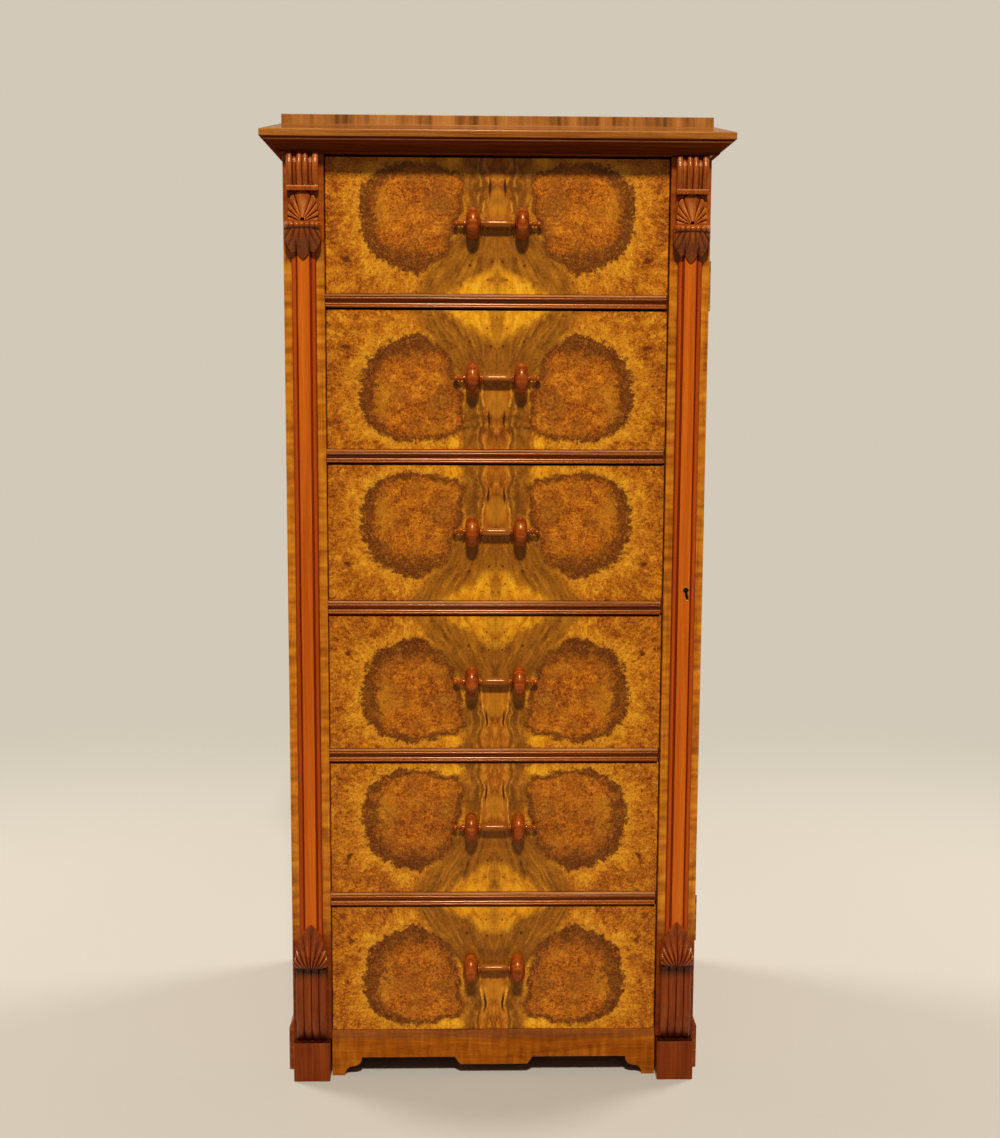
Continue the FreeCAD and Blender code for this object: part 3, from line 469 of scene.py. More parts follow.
        stroke = add("MapRange", {0: away, 1: strokeWide, 2: 0.0, 3: 0.0, 4: hold}, **smoothStep)
        stroke = add("Math", {0: stroke, 1: above}, operation="MULTIPLY")
        stroke = add("Math", {0: stroke, 1: smoke}, operation="MULTIPLY")
        colour = add("Mix", {0: stroke, 6: colour, 7: toLinear(stain)}, **colourMix)

    # two slits in the vase, a few knots, and the seam between the two leaves of veneer
    spots = [(swayed, fig["slit"], fig["slitSize"], "#341002", 0.95)]
    for x, z, size in fig["knots"]:
        spots.append((ragged if size > 3 else swayed, (x, z), (size, size), "#4E1C04", 0.85))
    for lines, middle, size, stain, hold in spots:
        spot = softSpot(add, lines, middle, size, (1.15, 0.45), hold)
        colour = add("Mix", {0: spot, 6: colour, 7: toLinear(stain)}, **colourMix)
    seam = add("MapRange", {0: across, 1: 0.6, 2: 0.1, 3: 0.0, 4: 0.4})
    colour = add("Mix", {0: seam, 6: colour, 7: toLinear("#6B3804")}, **colourMix)
    joinSurface(add, shader, colour, specks, 0.04, 0.3)
    return material


# five tones of one wood, from its dark bands to its light ones, where most of the pattern's values lie
def fiveTones(hexColours):
    return list(zip((0.4, 0.46, 0.51, 0.56, 0.63), hexColours.split()))


goldenStops = fiveTones("#8A4406 #A6580A #B8670E #C47514 #D0881E")
orangeStops = fiveTones("#963A03 #AC4A06 #BC570A #C8640E #D27418")
redStops = fiveTones("#541A01 #6B2903 #7C3506 #8C420A #A05414")
brownStops = fiveTones("#6E2F04 #864007 #964B0A #A6590F #B86C18")
# painted shade for the corbels' hanging leaf
leafShadeStops = fiveTones("#5C2003 #732F05 #863D09 #964B0F #A85E1C")
reedStops = fiveTones("#762B04 #903E08 #A44D0D #B25B13 #C06E1E")
shellStops = fiveTones("#863606 #9E490A #B05910 #BC6716 #CA7B22")
bracketStops = fiveTones("#641E01 #7C2C03 #8E3A06 #9E480B #B05C15")
noseStops = fiveTones("#663208 #804410 #905218 #9E5E20 #AE702C")
# painted shade for the cornice's cove, and below it a painted highlight for the fillet's lower arris
coveShadeStops = fiveTones("#501A06 #602408 #6E2E0B #7C380F #8A4416")
plinthStops = fiveTones("#4E1500 #632001 #722902 #803306 #92420E")
# painted shade for the plinth blocks' tops
blockTopShadeStops = fiveTones("#260A00 #300E00 #381200 #421702 #4E1E05")
splayStops = fiveTones("#582403 #6C3205 #7A3B08 #88460C #985614")
# painted highlight, pale tan, for the upper fillets of the rails
edgeHighlightStops = fiveTones("#8A4C22 #A06030 #B06E3A #BC7C46 #C88C56")
filletHighlightStops = fiveTones("#C06C34 #D27C44 #E08A50 #EA985E #F0A670")
turnedStops = fiveTones("#5A1A00 #762802 #8C3604 #A04508 #B45A12")
rodStops = fiveTones("#622E06 #783D0C #8A4A13 #9A581B #AA6A28")
bandStops = [(0.4, "#4A260C"), (0.455, "#764418"), (0.5, "#92561F"), (0.55, "#A26226"), (0.63, "#B47434")]
veneerStops = [(0.36, "#7A3606"), (0.47, "#924809"), (0.58, "#A4570E"), (0.74, "#B26618")]
pineStops = [(0.36, "#8A5F34"), (0.48, "#AC8250"), (0.6, "#C49C66"), (0.75, "#D0AC78")]
liningStops = [(0.4, "#8A5C30"), (0.46, "#A07040"), (0.53, "#B0824E"), (0.62, "#C0965F")]
# painted shade by how the surface curves: dark where it curves in, unchanged on ridges
hollowShade = [(0.4, "#2C1E18"), (0.48, "#A08E84"), (0.515, "#F0E8E2"), (0.56, "#FFFFFF")]
softHollowShade = [(0.4, "#50382C"), (0.48, "#B8A69A"), (0.515, "#F2EAE4"), (0.56, "#FFFFFF")]

bracketFoot, bracketTip = (corner.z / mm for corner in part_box("left_bottom_bracket"))
corbelTip, corbelHead = (corner.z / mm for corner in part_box("left_top_corbel"))
# painted shade on the stile flats beside the brackets and the corbels, where the carvings shade them
stileHeightShade = [(bracketFoot, "#8C5C46"), (bracketTip - 30, "#A07056"), (bracketTip + 15, "#FFFFFF"),
               (corbelTip - 15, "#FFFFFF"), (corbelTip + 20, "#C09C88"), (corbelHead, "#B48E78")]
# painted shade on the bracket: a dark foot above the plinth block, and a band under the leaf's lower curl
bracketHeightShade = [(bracketFoot, "#3C2A22"), (bracketFoot + 4, "#806858"), (bracketFoot + 16, "#FFFFFF"),
                 (bracketFoot + 84, "#FFFFFF"), (bracketFoot + 94, "#5A463C"),
                 (bracketFoot + 97.5, "#5A463C"), (bracketFoot + 100, "#FFFFFF")]
# stiles: quarter-cut walnut, golden under the polish, with faint bars across the grain and painted shade near
# the carvings
stileWalnut = straightGrain("walnut_stile_polished", goldenStops, "Z", frenchPolish, band=11, ripple=0.34,
                            calm=0.5, heightShade=stileHeightShade)
# applied mouldings on the stiles: calm orange walnut, with painted shade in its grooves and darker beads
# painted shade along the strip's grooves and beads, multiplied on its colour; mm from the pilaster's middle
stripGrooveShade = (230.75, 16.0, [(0, "#FFFFFF"), (6.3, "#FFF6EE"), (6.9, "#E8D2C4"), (7.1, "#9A6A5A"),
                              (8.5, "#96685A"), (9.6, "#E6C0AE"), (12.6, "#DDB4A2"), (14.2, "#98705F")])
stripWalnut = straightGrain("walnut_moulding_polished", orangeStops, "Z", frenchPolish, band=8, length=400,
                            wave=3, pores=0.2, calm=0.62, grooveShade=stripGrooveShade)
# side and top veneer: wide leaves with arched figure, plain polished
wideLeaf = {"ringGap": 10.0, "boardWidth": 1400.0, "fibre": 1.4, "fibreShare": 0.5, "stain": "#B8845C",
            "stainHold": 0.4}
sideWalnut = sawnBoards("walnut_veneer_side", veneerStops, "Z", frenchPolish, firstEdge=-640.0, rise=0.075,
                        sway=24.0, **wideLeaf)
topWalnut = sawnBoards("walnut_veneer_top", veneerStops, "X", frenchPolish, firstEdge=-700.0, rise=0.1,
                       sway=26.0, **wideLeaf)
# edge of the slab: veneer laid across it, so light and dark bars stand upright
edgeWalnut = straightGrain("walnut_crossbanding", bandStops, "Z", frenchPolish, band=20, fibre=6.0, wave=3,
                           calm=0.2)
# cornice: dusty, glintless polish on the cove, whose darkness is painted shade; a paler nose; and a painted
# highlight along the fillet's lower arris
coveShadeWalnut = straightGrain("walnut_cornice_cove_painted_shade", coveShadeStops, "X", dustyPolish, band=7, calm=0.45)
coveReturnShadeWalnut = straightGrain("walnut_cornice_cove_return", coveShadeStops, "Y", dustyPolish, band=7, calm=0.45)
noseWalnut = straightGrain("walnut_cornice_nose", noseStops, "X", rubbedPolish, band=8, calm=0.4)
noseReturnWalnut = straightGrain("walnut_cornice_nose_return", noseStops, "Y", rubbedPolish, band=8, calm=0.4)
filletHighlightWalnut = straightGrain("walnut_cornice_fillet_painted_highlight", filletHighlightStops, "X", rubbedPolish, band=6, calm=0.3)
# rails and plinth: darker red-brown walnut along each run, with a painted highlight on the rail fillets and
# painted shade on the plinth blocks' tops
railWalnut = straightGrain("walnut_dark_across", redStops, "X", rubbedPolish, band=7, calm=0.45)
edgeHighlightWalnut = straightGrain("walnut_edge_painted_highlight", edgeHighlightStops, "X", rubbedPolish, band=6, calm=0.3)
returnWalnut = straightGrain("walnut_dark_back", redStops, "Y", frenchPolish, band=7, calm=0.45)
plinthWalnut = straightGrain("walnut_dark_upright", plinthStops, "Z", frenchPolish, band=10, calm=0.55)
blockTopShadeWalnut = straightGrain("walnut_block_top_painted_shade", blockTopShadeStops, "Y", dustyPolish, band=7, calm=0.45)
# apron: flat brown walnut with a wavy grain, darker on its splay
wavyGrain = {"band": 12, "wave": 14, "ripple": 0.2, "calm": 0.45}
apronWalnut = straightGrain("walnut_apron", brownStops, "X", dullPolish, **wavyGrain)
splayWalnut = straightGrain("walnut_apron_splay", splayStops, "X", dullPolish, **wavyGrain)
# carved walnut: waxed, with painted shade in its hollow places and glints on its ridges
carvedGrain = {"band": 9, "wave": 4, "calm": 0.5}
reedWalnut = straightGrain("walnut_carved_reeds", reedStops, "Z", waxedCarving, recessShade=hollowShade, **carvedGrain)
shellWalnut = straightGrain("walnut_carved_shell", shellStops, "Z", carvedPolish, recessShade=hollowShade,
                            **carvedGrain)
leafShadeWalnut = straightGrain("walnut_carved_leaf_painted_shade", leafShadeStops, "Z", waxedCarving, recessShade=softHollowShade,
                           **carvedGrain)
bracketWalnut = straightGrain("walnut_carved_bracket", bracketStops, "Z", waxedCarving, recessShade=hollowShade,
                              heightShade=bracketHeightShade, **carvedGrain)
# turned walnut: red and glossy on the wheels, paler on the worn rods
turnedGrain = {"length": 120, "calm": 0.4}
turnedWalnut = straightGrain("walnut_turned", turnedStops, "X", handPolish, band=6, wave=3, **turnedGrain)
rodWalnut = straightGrain("walnut_turned_rod", rodStops, "X", rodPolish, band=4, wave=2, **turnedGrain)
# inner woods, dry and unpolished: pine boards with arched rings, oak linings with open pores
backLow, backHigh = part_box("back_boards")
pineUp = sawnBoards("pine_boards_upright", pineStops, "Z", rawWood, joint=0.9, rise=0.055, sway=17.0,
                    boardWidth=(backHigh.x - backLow.x) / 3 / mm, firstEdge=(backLow.x + backHigh.y) / mm)
pineAcross = sawnBoards("pine_boards_across", pineStops, "X", rawWood, rise=0.06, sway=20.0)
pineBack = sawnBoards("pine_runners", pineStops, "Y", rawWood, ringGap=5.0, rise=0.06, sway=12.0)
openGrain = {"length": 380, "pores": 0.5, "calm": 0.4}
liningSide = straightGrain("oak_drawer_sides", liningStops, "Y", rawWood, band=5, wave=4, **openGrain)
liningAcross = straightGrain("oak_drawer_bottoms", liningStops, "X", rawWood, band=7, wave=5, **openGrain)

metalSizes = {"blotch": 7, "scratchLong": 9, "scratchWide": 0.4}  # mm


# aged metal: dull with darker tarnish blotches and fine scratches
def agedMetal(name, bright, dull, roughness):
    material, add, shader = startMaterial(name, {"Metallic": 1.0, "Roughness": roughness})
    place = add("TexCoord", out=3)
    blotch = add("TexNoise", {"Vector": place, "Scale": 1000 / metalSizes["blotch"], "Detail": 4.0})
    colour = add("ValToRGB", {0: blotch}, ramp=[(0.38, dull), (0.62, bright)])
    longScale, wideScale = 1000 / metalSizes["scratchLong"], 1000 / metalSizes["scratchWide"]
    scratchAt = add("Mapping", {"Vector": place, "Scale": (longScale, longScale, wideScale)})
    scratch = add("TexNoise", {"Vector": scratchAt, "Scale": 1.0, "Detail": 2.0})
    joinSurface(add, shader, colour, scratch, 0.1, 0.2)
    return material


agedBrass = agedMetal("brass_aged", "#B98F4A", "#6E5026", 0.38)
lockSteel = agedMetal("steel_filed", "#8E8A84", "#5A544E", 0.42)
print("materials made:", len(bpy.data.materials))


# leaves one object selected and active, ready for edit mode
def takeUp(piece):
    bpy.ops.object.select_all(action="DESELECT")
    piece.select_set(True)
    bpy.context.view_layer.objects.active = piece


# puts a finished piece on its body, in the place of a CAD node
def fitPiece(piece, node):
    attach(piece, bodyOf[node])
    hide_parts(node)


# weld in mm, angles in degrees: faces this level are one face, edges this sharp are eased
arrisWork = {"weld": 0.005, "level": 0.5, "shade": 30, "sharp": 40, "segments": 2}


# finished copy of a CAD node: triangles joined to whole faces, and the arrises eased as by sanding
def dressNode(node, material, arris=0.5):
    piece = bpy.data.objects.new(node + "_finished", nodes[node].data.copy())
    bpy.context.scene.collection.objects.link(piece)
    piece.data.materials.clear()
    piece.data.materials.append(material)
    takeUp(piece)
    bpy.ops.mesh.customdata_custom_splitnormals_clear()
    bpy.ops.object.mode_set(mode="EDIT")
    bpy.ops.mesh.select_all(action="SELECT")
    bpy.ops.mesh.remove_doubles(threshold=arrisWork["weld"] * mm)
    bpy.ops.mesh.dissolve_limited(angle_limit=math.radians(arrisWork["level"]))
    bpy.ops.object.mode_set(mode="OBJECT")
    bpy.ops.object.shade_smooth_by_angle(angle=math.radians(arrisWork["shade"]))
    if arris:
        bpy.ops.object.modifier_add(type="BEVEL")
        easing = piece.modifiers[-1]
        easing.width = arris * mm
        easing.segments = arrisWork["segments"]
        easing.limit_method = "ANGLE"
        easing.angle_limit = math.radians(arrisWork["sharp"])
        easing.harden_normals = True
        bpy.ops.object.modifier_apply(modifier=easing.name)
    fitPiece(piece, node)
    return piece


# cuts a line round a piece, where two woods will meet
def scoreLine(piece, place, normal):
    takeUp(piece)
    bpy.ops.object.mode_set(mode="EDIT")
    bpy.ops.mesh.select_all(action="SELECT")
    bpy.ops.mesh.bisect(plane_co=place, plane_no=normal)
    bpy.ops.object.mode_set(mode="OBJECT")


# gives one more material to the faces that a test picks
def faceWith(piece, material, picked):
    piece.data.materials.append(material)
    for face in piece.data.polygons:
        if picked(face):
            face.material_index = len(piece.data.materials) - 1


outerWood = {"left_stile": stileWalnut, "flap_board": stileWalnut, "left_strip": stripWalnut,
             "flap_strip": stripWalnut, "left_side": sideWalnut, "right_side": sideWalnut,
             "cornice_front": coveShadeWalnut, "cornice_returns": coveReturnShadeWalnut, "rail_mouldings": railWalnut,
             "plinth_blocks": plinthWalnut, "plinth_sides": returnWalnut, "apron": apronWalnut}
arrisOf = {"cornice_front": 0, "cornice_returns": 0, "left_strip": 0, "flap_strip": 0, "rail_mouldings": 0.3,
           "plinth_sides": 0.3, "apron": 0.5}  # mm, where it isn't the usual 0.6
outer = {node: dressNode(node, material, arrisOf.get(node, 0.6)) for node, material in outerWood.items()}

# cornice: paler wood on the nose than in the cove, whose darkness is painted shade, and a painted highlight
# along the fillet's lower arris
corniceSteps = {"nose": 17.0, "litArris": 19.2, "fillet": 20.6}  # mm below the top of the moulding
for node, nose in (("cornice_front", noseWalnut), ("cornice_returns", noseReturnWalnut)):
    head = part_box(node)[1].z
    scoreLine(outer[node], (0, 0, head - corniceSteps["litArris"] * mm), (0, 0, 1))
    faceWith(outer[node], nose, lambda face: (head - face.center.z) / mm < corniceSteps["nose"])
    faceWith(outer[node], filletHighlightWalnut, lambda face: abs(face.normal.z) < 0.3 and
             corniceSteps["litArris"] < (head - face.center.z) / mm < corniceSteps["fillet"])

# painted highlight on the upper fillets of the rails
railSteps = {"count": 5, "pitch": 186.6, "fillet": 2.4}  # mm, counted down from the highest one
railTops = [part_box("rail_mouldings")[1].z - i * railSteps["pitch"] * mm for i in range(railSteps["count"])]
faceWith(outer["rail_mouldings"], edgeHighlightWalnut,
         lambda face: min(abs(top - face.center.z) for top in railTops) < railSteps["fillet"] * mm)
# the splay along the apron's top is darker, and the plinth blocks' tops carry painted shade
faceWith(outer["apron"], splayWalnut, lambda face: face.normal.z > 0.3 and face.normal.y < -0.3)
faceWith(outer["plinth_blocks"], blockTopShadeWalnut, lambda face: face.normal.z > 0.5)
faceWith(dressNode("top_slab", edgeWalnut, 0.8), topWalnut, lambda face: abs(face.normal.z) > 0.7)

veneer = 2.0  # mm, past which a drawer front is plain wood
for number in drawerNumbers:
    name = "drawer_%d_" % number
    low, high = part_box(name + "front")
    burr = burrVeneer("burr_walnut_%d" % number, (low.z + high.z) / 2, number % 2 == 1, number - 1)
    faceWith(dressNode(name + "front", burr, 0.7), liningAcross,
             lambda face: face.center.y > low.y + veneer * mm and abs(face.normal.x) < 0.9)
    dressNode(name + "sides", liningSide, 0.5)
    dressNode(name + "back", liningAcross, 0.5)
    dressNode(name + "bottom", liningAcross, 0.3)
for node in ("hinge_leaves_carcass", "hinge_leaves_flap", "keyhole_liner", "lock_case"):
    dressNode(node, agedBrass, 0.2)
dressNode("lock_bolt", lockSteel, 0.3)
innerWood = {"bottom_board": pineAcross, "top_board": pineAcross, "back_boards": pineUp,
             "drawer_rails": pineAcross, "drawer_runners": pineBack}
lippedWith = {"bottom_board": apronWalnut, "top_board": railWalnut, "drawer_rails": railWalnut}
lipping = 26.0  # mm of walnut along the front of the pine boards
for node, material in innerWood.items():
    board = dressNode(node, material, 0.5)
    if node in lippedWith:
        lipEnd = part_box(node)[0].y + lipping * mm
        scoreLine(board, (0, lipEnd, 0), (0, 1, 0))
        faceWith(board, lippedWith[node], lambda face: face.center.y < lipEnd)
print("dressed nodes done")


# handles: two wheels on a rod with ball finials, turned in one piece; mm, from the middle outwards
handleTurning = {"wheelAt": 29.5, "wheelHalf": 8.3, "wheelHub": 3.0, "wheelRadius": 19.0, "wheelRound": 0.56,
                 "wheelStep": 9, "flat": 7.0, "rodEnd": 17.2, "sides": 72, "weld": 0.002, "shade": 40,
                 "rod": [(0, 4.9), (9, 4.8), (16.4, 4.8), (16.8, 4.5), (17.0, 3.7), (18.2, 3.6), (18.5, 5.2),
                         (18.9, 5.8), (19.6, 5.9), (20.2, 5.6), (20.6, 4.6), (20.9, 4.0)],
                 "finial": [(38.1, 3.1), (38.7, 3.0), (39.0, 4.2), (39.4, 4.7), (40.1, 4.7), (40.7, 4.1),
                            (41.1, 2.7), (42.2, 2.2), (43.2, 2.6), (43.9, 3.2), (44.6, 3.3), (45.3, 2.9),
                            (45.9, 2.2), (46.5, 2.0)],
                 "ballAt": 49.4, "ballRadius": 3.5, "ballFrom": -54, "ballStep": 12,
                 "plainEnd": [(38.1, 5.6), (38.6, 6.0), (39.4, 5.6), (39.8, 2.0)]}


def turnHandle(name, finials):
    cut = handleTurning
    half = list(cut["rod"])
    swell = cut["wheelRadius"] - cut["wheelHub"]
    for angle in range(-90, 91, cut["wheelStep"]):
        sine, cosine = math.sin(math.radians(angle)), math.cos(math.radians(angle))
        half.append((cut["wheelAt"] + cut["wheelHalf"] * sine,
                     cut["wheelHub"] + swell * max(cosine, 0.0) ** cut["wheelRound"]))
    if finials:
        half += cut["finial"]
        for angle in range(cut["ballFrom"], 90, cut["ballStep"]):
            half.append((cut["ballAt"] + cut["ballRadius"] * math.sin(math.radians(angle)),
                         cut["ballRadius"] * math.cos(math.radians(angle))))
    else:
        half += cut["plainEnd"]
    profile = [(-x, r) for x, r in reversed(half[1:])] + half
    at, size = profile[0]
    bpy.ops.object.select_all(action="DESELECT")
    bpy.ops.mesh.primitive_circle_add(vertices=cut["sides"], radius=size * mm, fill_type="NGON",
                                      rotation=(0, math.pi / 2, 0))
    piece = bpy.context.object
    piece.name = name
    bpy.ops.object.transform_apply(rotation=True)
    bpy.ops.object.mode_set(mode="EDIT")
    bpy.ops.mesh.select_all(action="SELECT")
    bpy.ops.transform.translate(value=(at * mm, 0, 0))
    for x, radius in profile[1:]:
        bpy.ops.mesh.extrude_region_move(TRANSFORM_OT_translate={"value": ((x - at) * mm, 0, 0)})
        bpy.ops.transform.resize(value=(1, radius / size, radius / size), center_override=(x * mm, 0, 0))
        at, size = x, radius
    bpy.ops.mesh.select_all(action="SELECT")
    bpy.ops.mesh.remove_doubles(threshold=cut["weld"] * mm)
    bpy.ops.mesh.normals_make_consistent(inside=False)
    bpy.ops.mesh.bisect(plane_co=(0, cut["flat"] * mm, 0), plane_no=(0, 1, 0), use_fill=True,
                        clear_outer=True)
    bpy.ops.object.mode_set(mode="OBJECT")
    bpy.ops.object.shade_smooth_by_angle(angle=math.radians(cut["shade"]))
    piece.data.materials.append(turnedWalnut)
    # the rod is paler where hands have worn it
    faceWith(piece, rodWalnut, lambda face: abs(face.center.x) < cut["rodEnd"] * mm)
    return piece


for finials, numbers in ((True, (1, 2, 3, 4, 5)), (False, (6,))):
    turned = turnHandle("turned_handle_pattern", finials)
    for number in numbers:
        node = "drawer_%d_handle" % number
        low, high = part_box(node)
        piece = bpy.data.objects.new(node + "_turned", turned.data.copy())
        bpy.context.scene.collection.objects.link(piece)
        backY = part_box("drawer_%d_front" % number)[0].y
        place = (0, backY - handleTurning["flat"] * mm, (low.z + high.z) / 2)
        piece.data.transform(Matrix.Translation(place))
        fitPiece(piece, node)
    bpy.data.objects.remove(turned)
print("handles turned")


# value at a place along a row of (place, value) points
def along(points, place):
    for (a, va), (b, vb) in zip(points, points[1:]):
        if place <= b:
            share = min(1.0, max(0.0, (place - a) / (b - a)))
            return va + (vb - va) * share
    return points[-1][1]


# half-round reed: 1 on its crown, 0 at its sides
def reed(x, middle, halfWidth):
    share = (x - middle) / halfWidth
    return math.sqrt(max(0.0, 1 - share * share))


# rib with a round crown: 1 on it, -1 in the grooves; turn counts the ribs, so crowns lie at whole numbers
def rib(turn, sharpness):
    return 1 - 2 * abs(2 * (turn - round(turn))) ** sharpness


# top corbels: reeded block with a bulge and a lip, a scallop shell over a beaded roll, and a hanging leaf
# mm, heights above the pilaster's face; rows are (drop below the top, value)
# "tip" is where the lower edge lies: (share of the half width, drop)
topCorbel = {
    "half": [(0, 18.6), (44.6, 18.6), (77, 18.4), (84, 21.3)],
    "tip": [(0, 124), (0.1, 122), (0.2, 119.3), (0.3, 116.6), (0.35, 114.6), (0.38, 113.6), (0.42, 114.6),
            (0.52, 116.4), (0.62, 116.2), (0.7, 113.6), (0.8, 110.4), (0.9, 106.2), (1, 99.5)],
    "block": [(0, 11.0), (4, 12.7), (8, 14.5), (12, 15.7), (16, 16.2), (20, 16.0), (25, 14.9), (30, 13.6),
              (34, 12.4), (38, 11.6)],
    # from the middle out: broad reed, channel with a thin reed in it, rounded land at the side
    # each with its outer edge, how deep it is sunk, its sides' depth, its crown's place and its half width
    "reeds": [(6.8, 0.0, 2.9, 3.5, 3.3), (12.0, 4.3, 0.8, 9.4, 1.5), (20.0, 0.0, 1.6, 15.3, 3.4)],
    "lipAt": 38.0, "blockEnd": 44.6, "lip": 13.0, "lipRound": 0.9, "ground": 4.4,
    "fanFoot": 81.0, "shellHalf": 18.4, "shellHeight": 36.5, "lobeEdges": (0, 17.5, 34, 50, 68, 95),
    "scallop": 0.07, "lobeRound": 0.9, "lobeGroove": 2.4, "shellFloor": 6.6, "shellRise": 12.4,
    "shellRim": 2.2, "eyeRise": 2.6, "eyeRadius": 2.2, "eyeDepth": 6.0,
    "rollAt": 84.6, "rollHalf": 5.0, "rollEnd": 88.0, "rollBack": 13.2, "rollReach": 9.9, "beadGap": 6.1,
    "bead": 1.9, "rollTaper": [(0.86, 0.0), (1, 5.0)],
    "leafFrom": 81.6, "ribGap": 0.56, "ribSharpness": 1.8, "ribHeight": [(84, 0.5), (92, 1.0)],
    "ribSpread": [(80, 8.6), (86, 9.4), (92, 11), (100, 14.5), (108, 19.5), (116, 26), (124, 34)],
    "leaf": [(82, 20), (88, 21), (94, 20.6), (101, 19), (107, 16.6), (113, 13.4), (118, 11), (124, 8.9)],
    "leafEdge": 3.6, "notchAt": 0.37, "notchHalf": 0.05, "notch": [(96, 0.0), (110, 2.6)]}


def topCorbelRelief(s, t):
    cut = topCorbel
    side = abs(s)
    drop = t * along(cut["tip"], side)
    x = s * along(cut["half"], drop)
    if drop < cut["lipAt"]:
        height = along(cut["block"], drop)
        for outerEdge, sunk, depth, crown, reedHalf in cut["reeds"]:
            if abs(x) < outerEdge:
                height -= sunk + depth * (1 - reed(abs(x), crown, reedHalf))
                break
        return x, height, drop
    if drop < cut["blockEnd"]:  # plain lip with a rounded front
        lipShare = (2 * drop - cut["lipAt"] - cut["blockEnd"]) / (cut["blockEnd"] - cut["lipAt"])
        return x, cut["lip"] - cut["lipRound"] * lipShare ** 4, drop
    rise = cut["fanFoot"] - drop
    height = cut["ground"]
    if rise > 0:  # shell: broad lobes with fine grooves between them fan up from a round eye
        turn = abs(math.degrees(math.atan2(x, rise)))
        lobe = max(i for i, edge in enumerate(cut["lobeEdges"][:-1]) if turn >= edge)
        inner, outerEdge = cut["lobeEdges"][lobe], cut["lobeEdges"][lobe + 1]
        phase = turn / outerEdge if lobe == 0 else (2 * turn - inner - outerEdge) / (outerEdge - inner)
        rim = ((math.sin(math.radians(turn)) / cut["shellHalf"]) ** 3
               + abs(math.cos(math.radians(turn)) / cut["shellHeight"]) ** 3) ** (-1 / 3)
        q = math.hypot(x, rise) / (rim * (1 - cut["scallop"] * phase * phase))
        if q < 1:
            groove = cut["lobeRound"] * phase * phase + cut["lobeGroove"] * abs(phase) ** 9
            height = (cut["shellFloor"] + cut["shellRise"] * (1 - q) ** 1.3 + cut["shellRim"] * q ** 4
                      - groove * min(1.0, 1.5 * q))
        if math.hypot(x, rise - cut["eyeRise"]) < cut["eyeRadius"]:
            height -= cut["eyeDepth"]
    if drop > cut["leafFrom"]:  # hanging leaf: ribs fan down, with notches beside the middle tongue
        ridge = rib(x / along(cut["ribSpread"], drop) / cut["ribGap"], cut["ribSharpness"])
        notch = math.exp(-((side - cut["notchAt"]) / cut["notchHalf"]) ** 2) * along(cut["notch"], drop)
        leaf = along(cut["leaf"], drop) + ridge * along(cut["ribHeight"], drop)
        height = max(height, leaf - cut["leafEdge"] * side ** 4 - notch)
    roll = (drop - cut["rollAt"]) / cut["rollHalf"]
    if abs(roll) < 1:
        bead = math.sqrt(abs(math.cos(math.pi * x / cut["beadGap"])))
        curl = cut["rollReach"] * math.sqrt(1 - roll * roll) + cut["bead"] * bead
        height = max(height, cut["rollBack"] + curl - along(cut["rollTaper"], side))
    return x, height, drop


# bottom brackets: a leaf curling over at its lower end, then four reeds that draw in towards the plinth
# mm, heights above the pilaster's face; rows are (rise above the foot, value)
# "tip" is where the upper edge lies: (share of the half width, rise)
lowBracket = {
    "tip": [(0, 154), (0.12, 152.6), (0.2, 150.4), (0.3, 148.8), (0.38, 146.8), (0.42, 144.2), (0.47, 144.8),
            (0.57, 140.8), (0.64, 136.8), (0.67, 133.4), (0.71, 133.6), (0.8, 125), (0.85, 119.6),
            (0.88, 116.4), (0.91, 116.2), (1, 106)],
    "half": [(0, 18.8), (98, 18.8), (101, 20.4), (107, 21.0), (116, 21.3), (130, 21.2), (154, 20.6)],
    "reach": [(0, 5.6), (8, 8.2), (18, 11.2), (32, 13.8), (48, 14.8), (68, 14.4), (86, 13.6), (99, 13.2)],
    "reedPitch": 9.5, "reedDepth": 3.2, "reedHalf": 0.505, "leafFoot": 98.0, "fanFoot": 90.0, "fanTurn": 12.0,
    "leaf": [(98, 13.4), (99, 16.6), (101, 19.4), (104, 21.2), (108, 22.4), (112, 22.3), (118, 20.4),
             (124, 17.2), (130, 14.6), (138, 12.3), (146, 10.7), (154, 9.2)],
    "ribSharpness": 1.5, "ribHeight": [(99, 0.45), (110, 1.5), (146, 1.2), (154, 0.3)], "leafEdge": 4.5}


def lowBracketRelief(s, t):
    cut = lowBracket
    side = abs(s)
    rise = (1 - t) * along(cut["tip"], side)
    x = s * along(cut["half"], rise)
    if rise < cut["leafFoot"]:
        phase = abs(x) / cut["reedPitch"] - 0.5
        crown = reed(phase - round(phase), 0, cut["reedHalf"])
        return x, along(cut["reach"], rise) - cut["reedDepth"] * (1 - crown), rise
    turn = math.degrees(math.atan2(x, rise - cut["fanFoot"])) / cut["fanTurn"] - 0.5
    ridge = rib(turn, cut["ribSharpness"])
    height = along(cut["leaf"], rise) + ridge * along(cut["ribHeight"], rise)
    return x, height - cut["leafEdge"] * side ** 4, rise


carving = {"across": 120, "down": 280, "smooth": 0.4, "smoothTimes": 2, "weld": 0.002, "shade": 50}


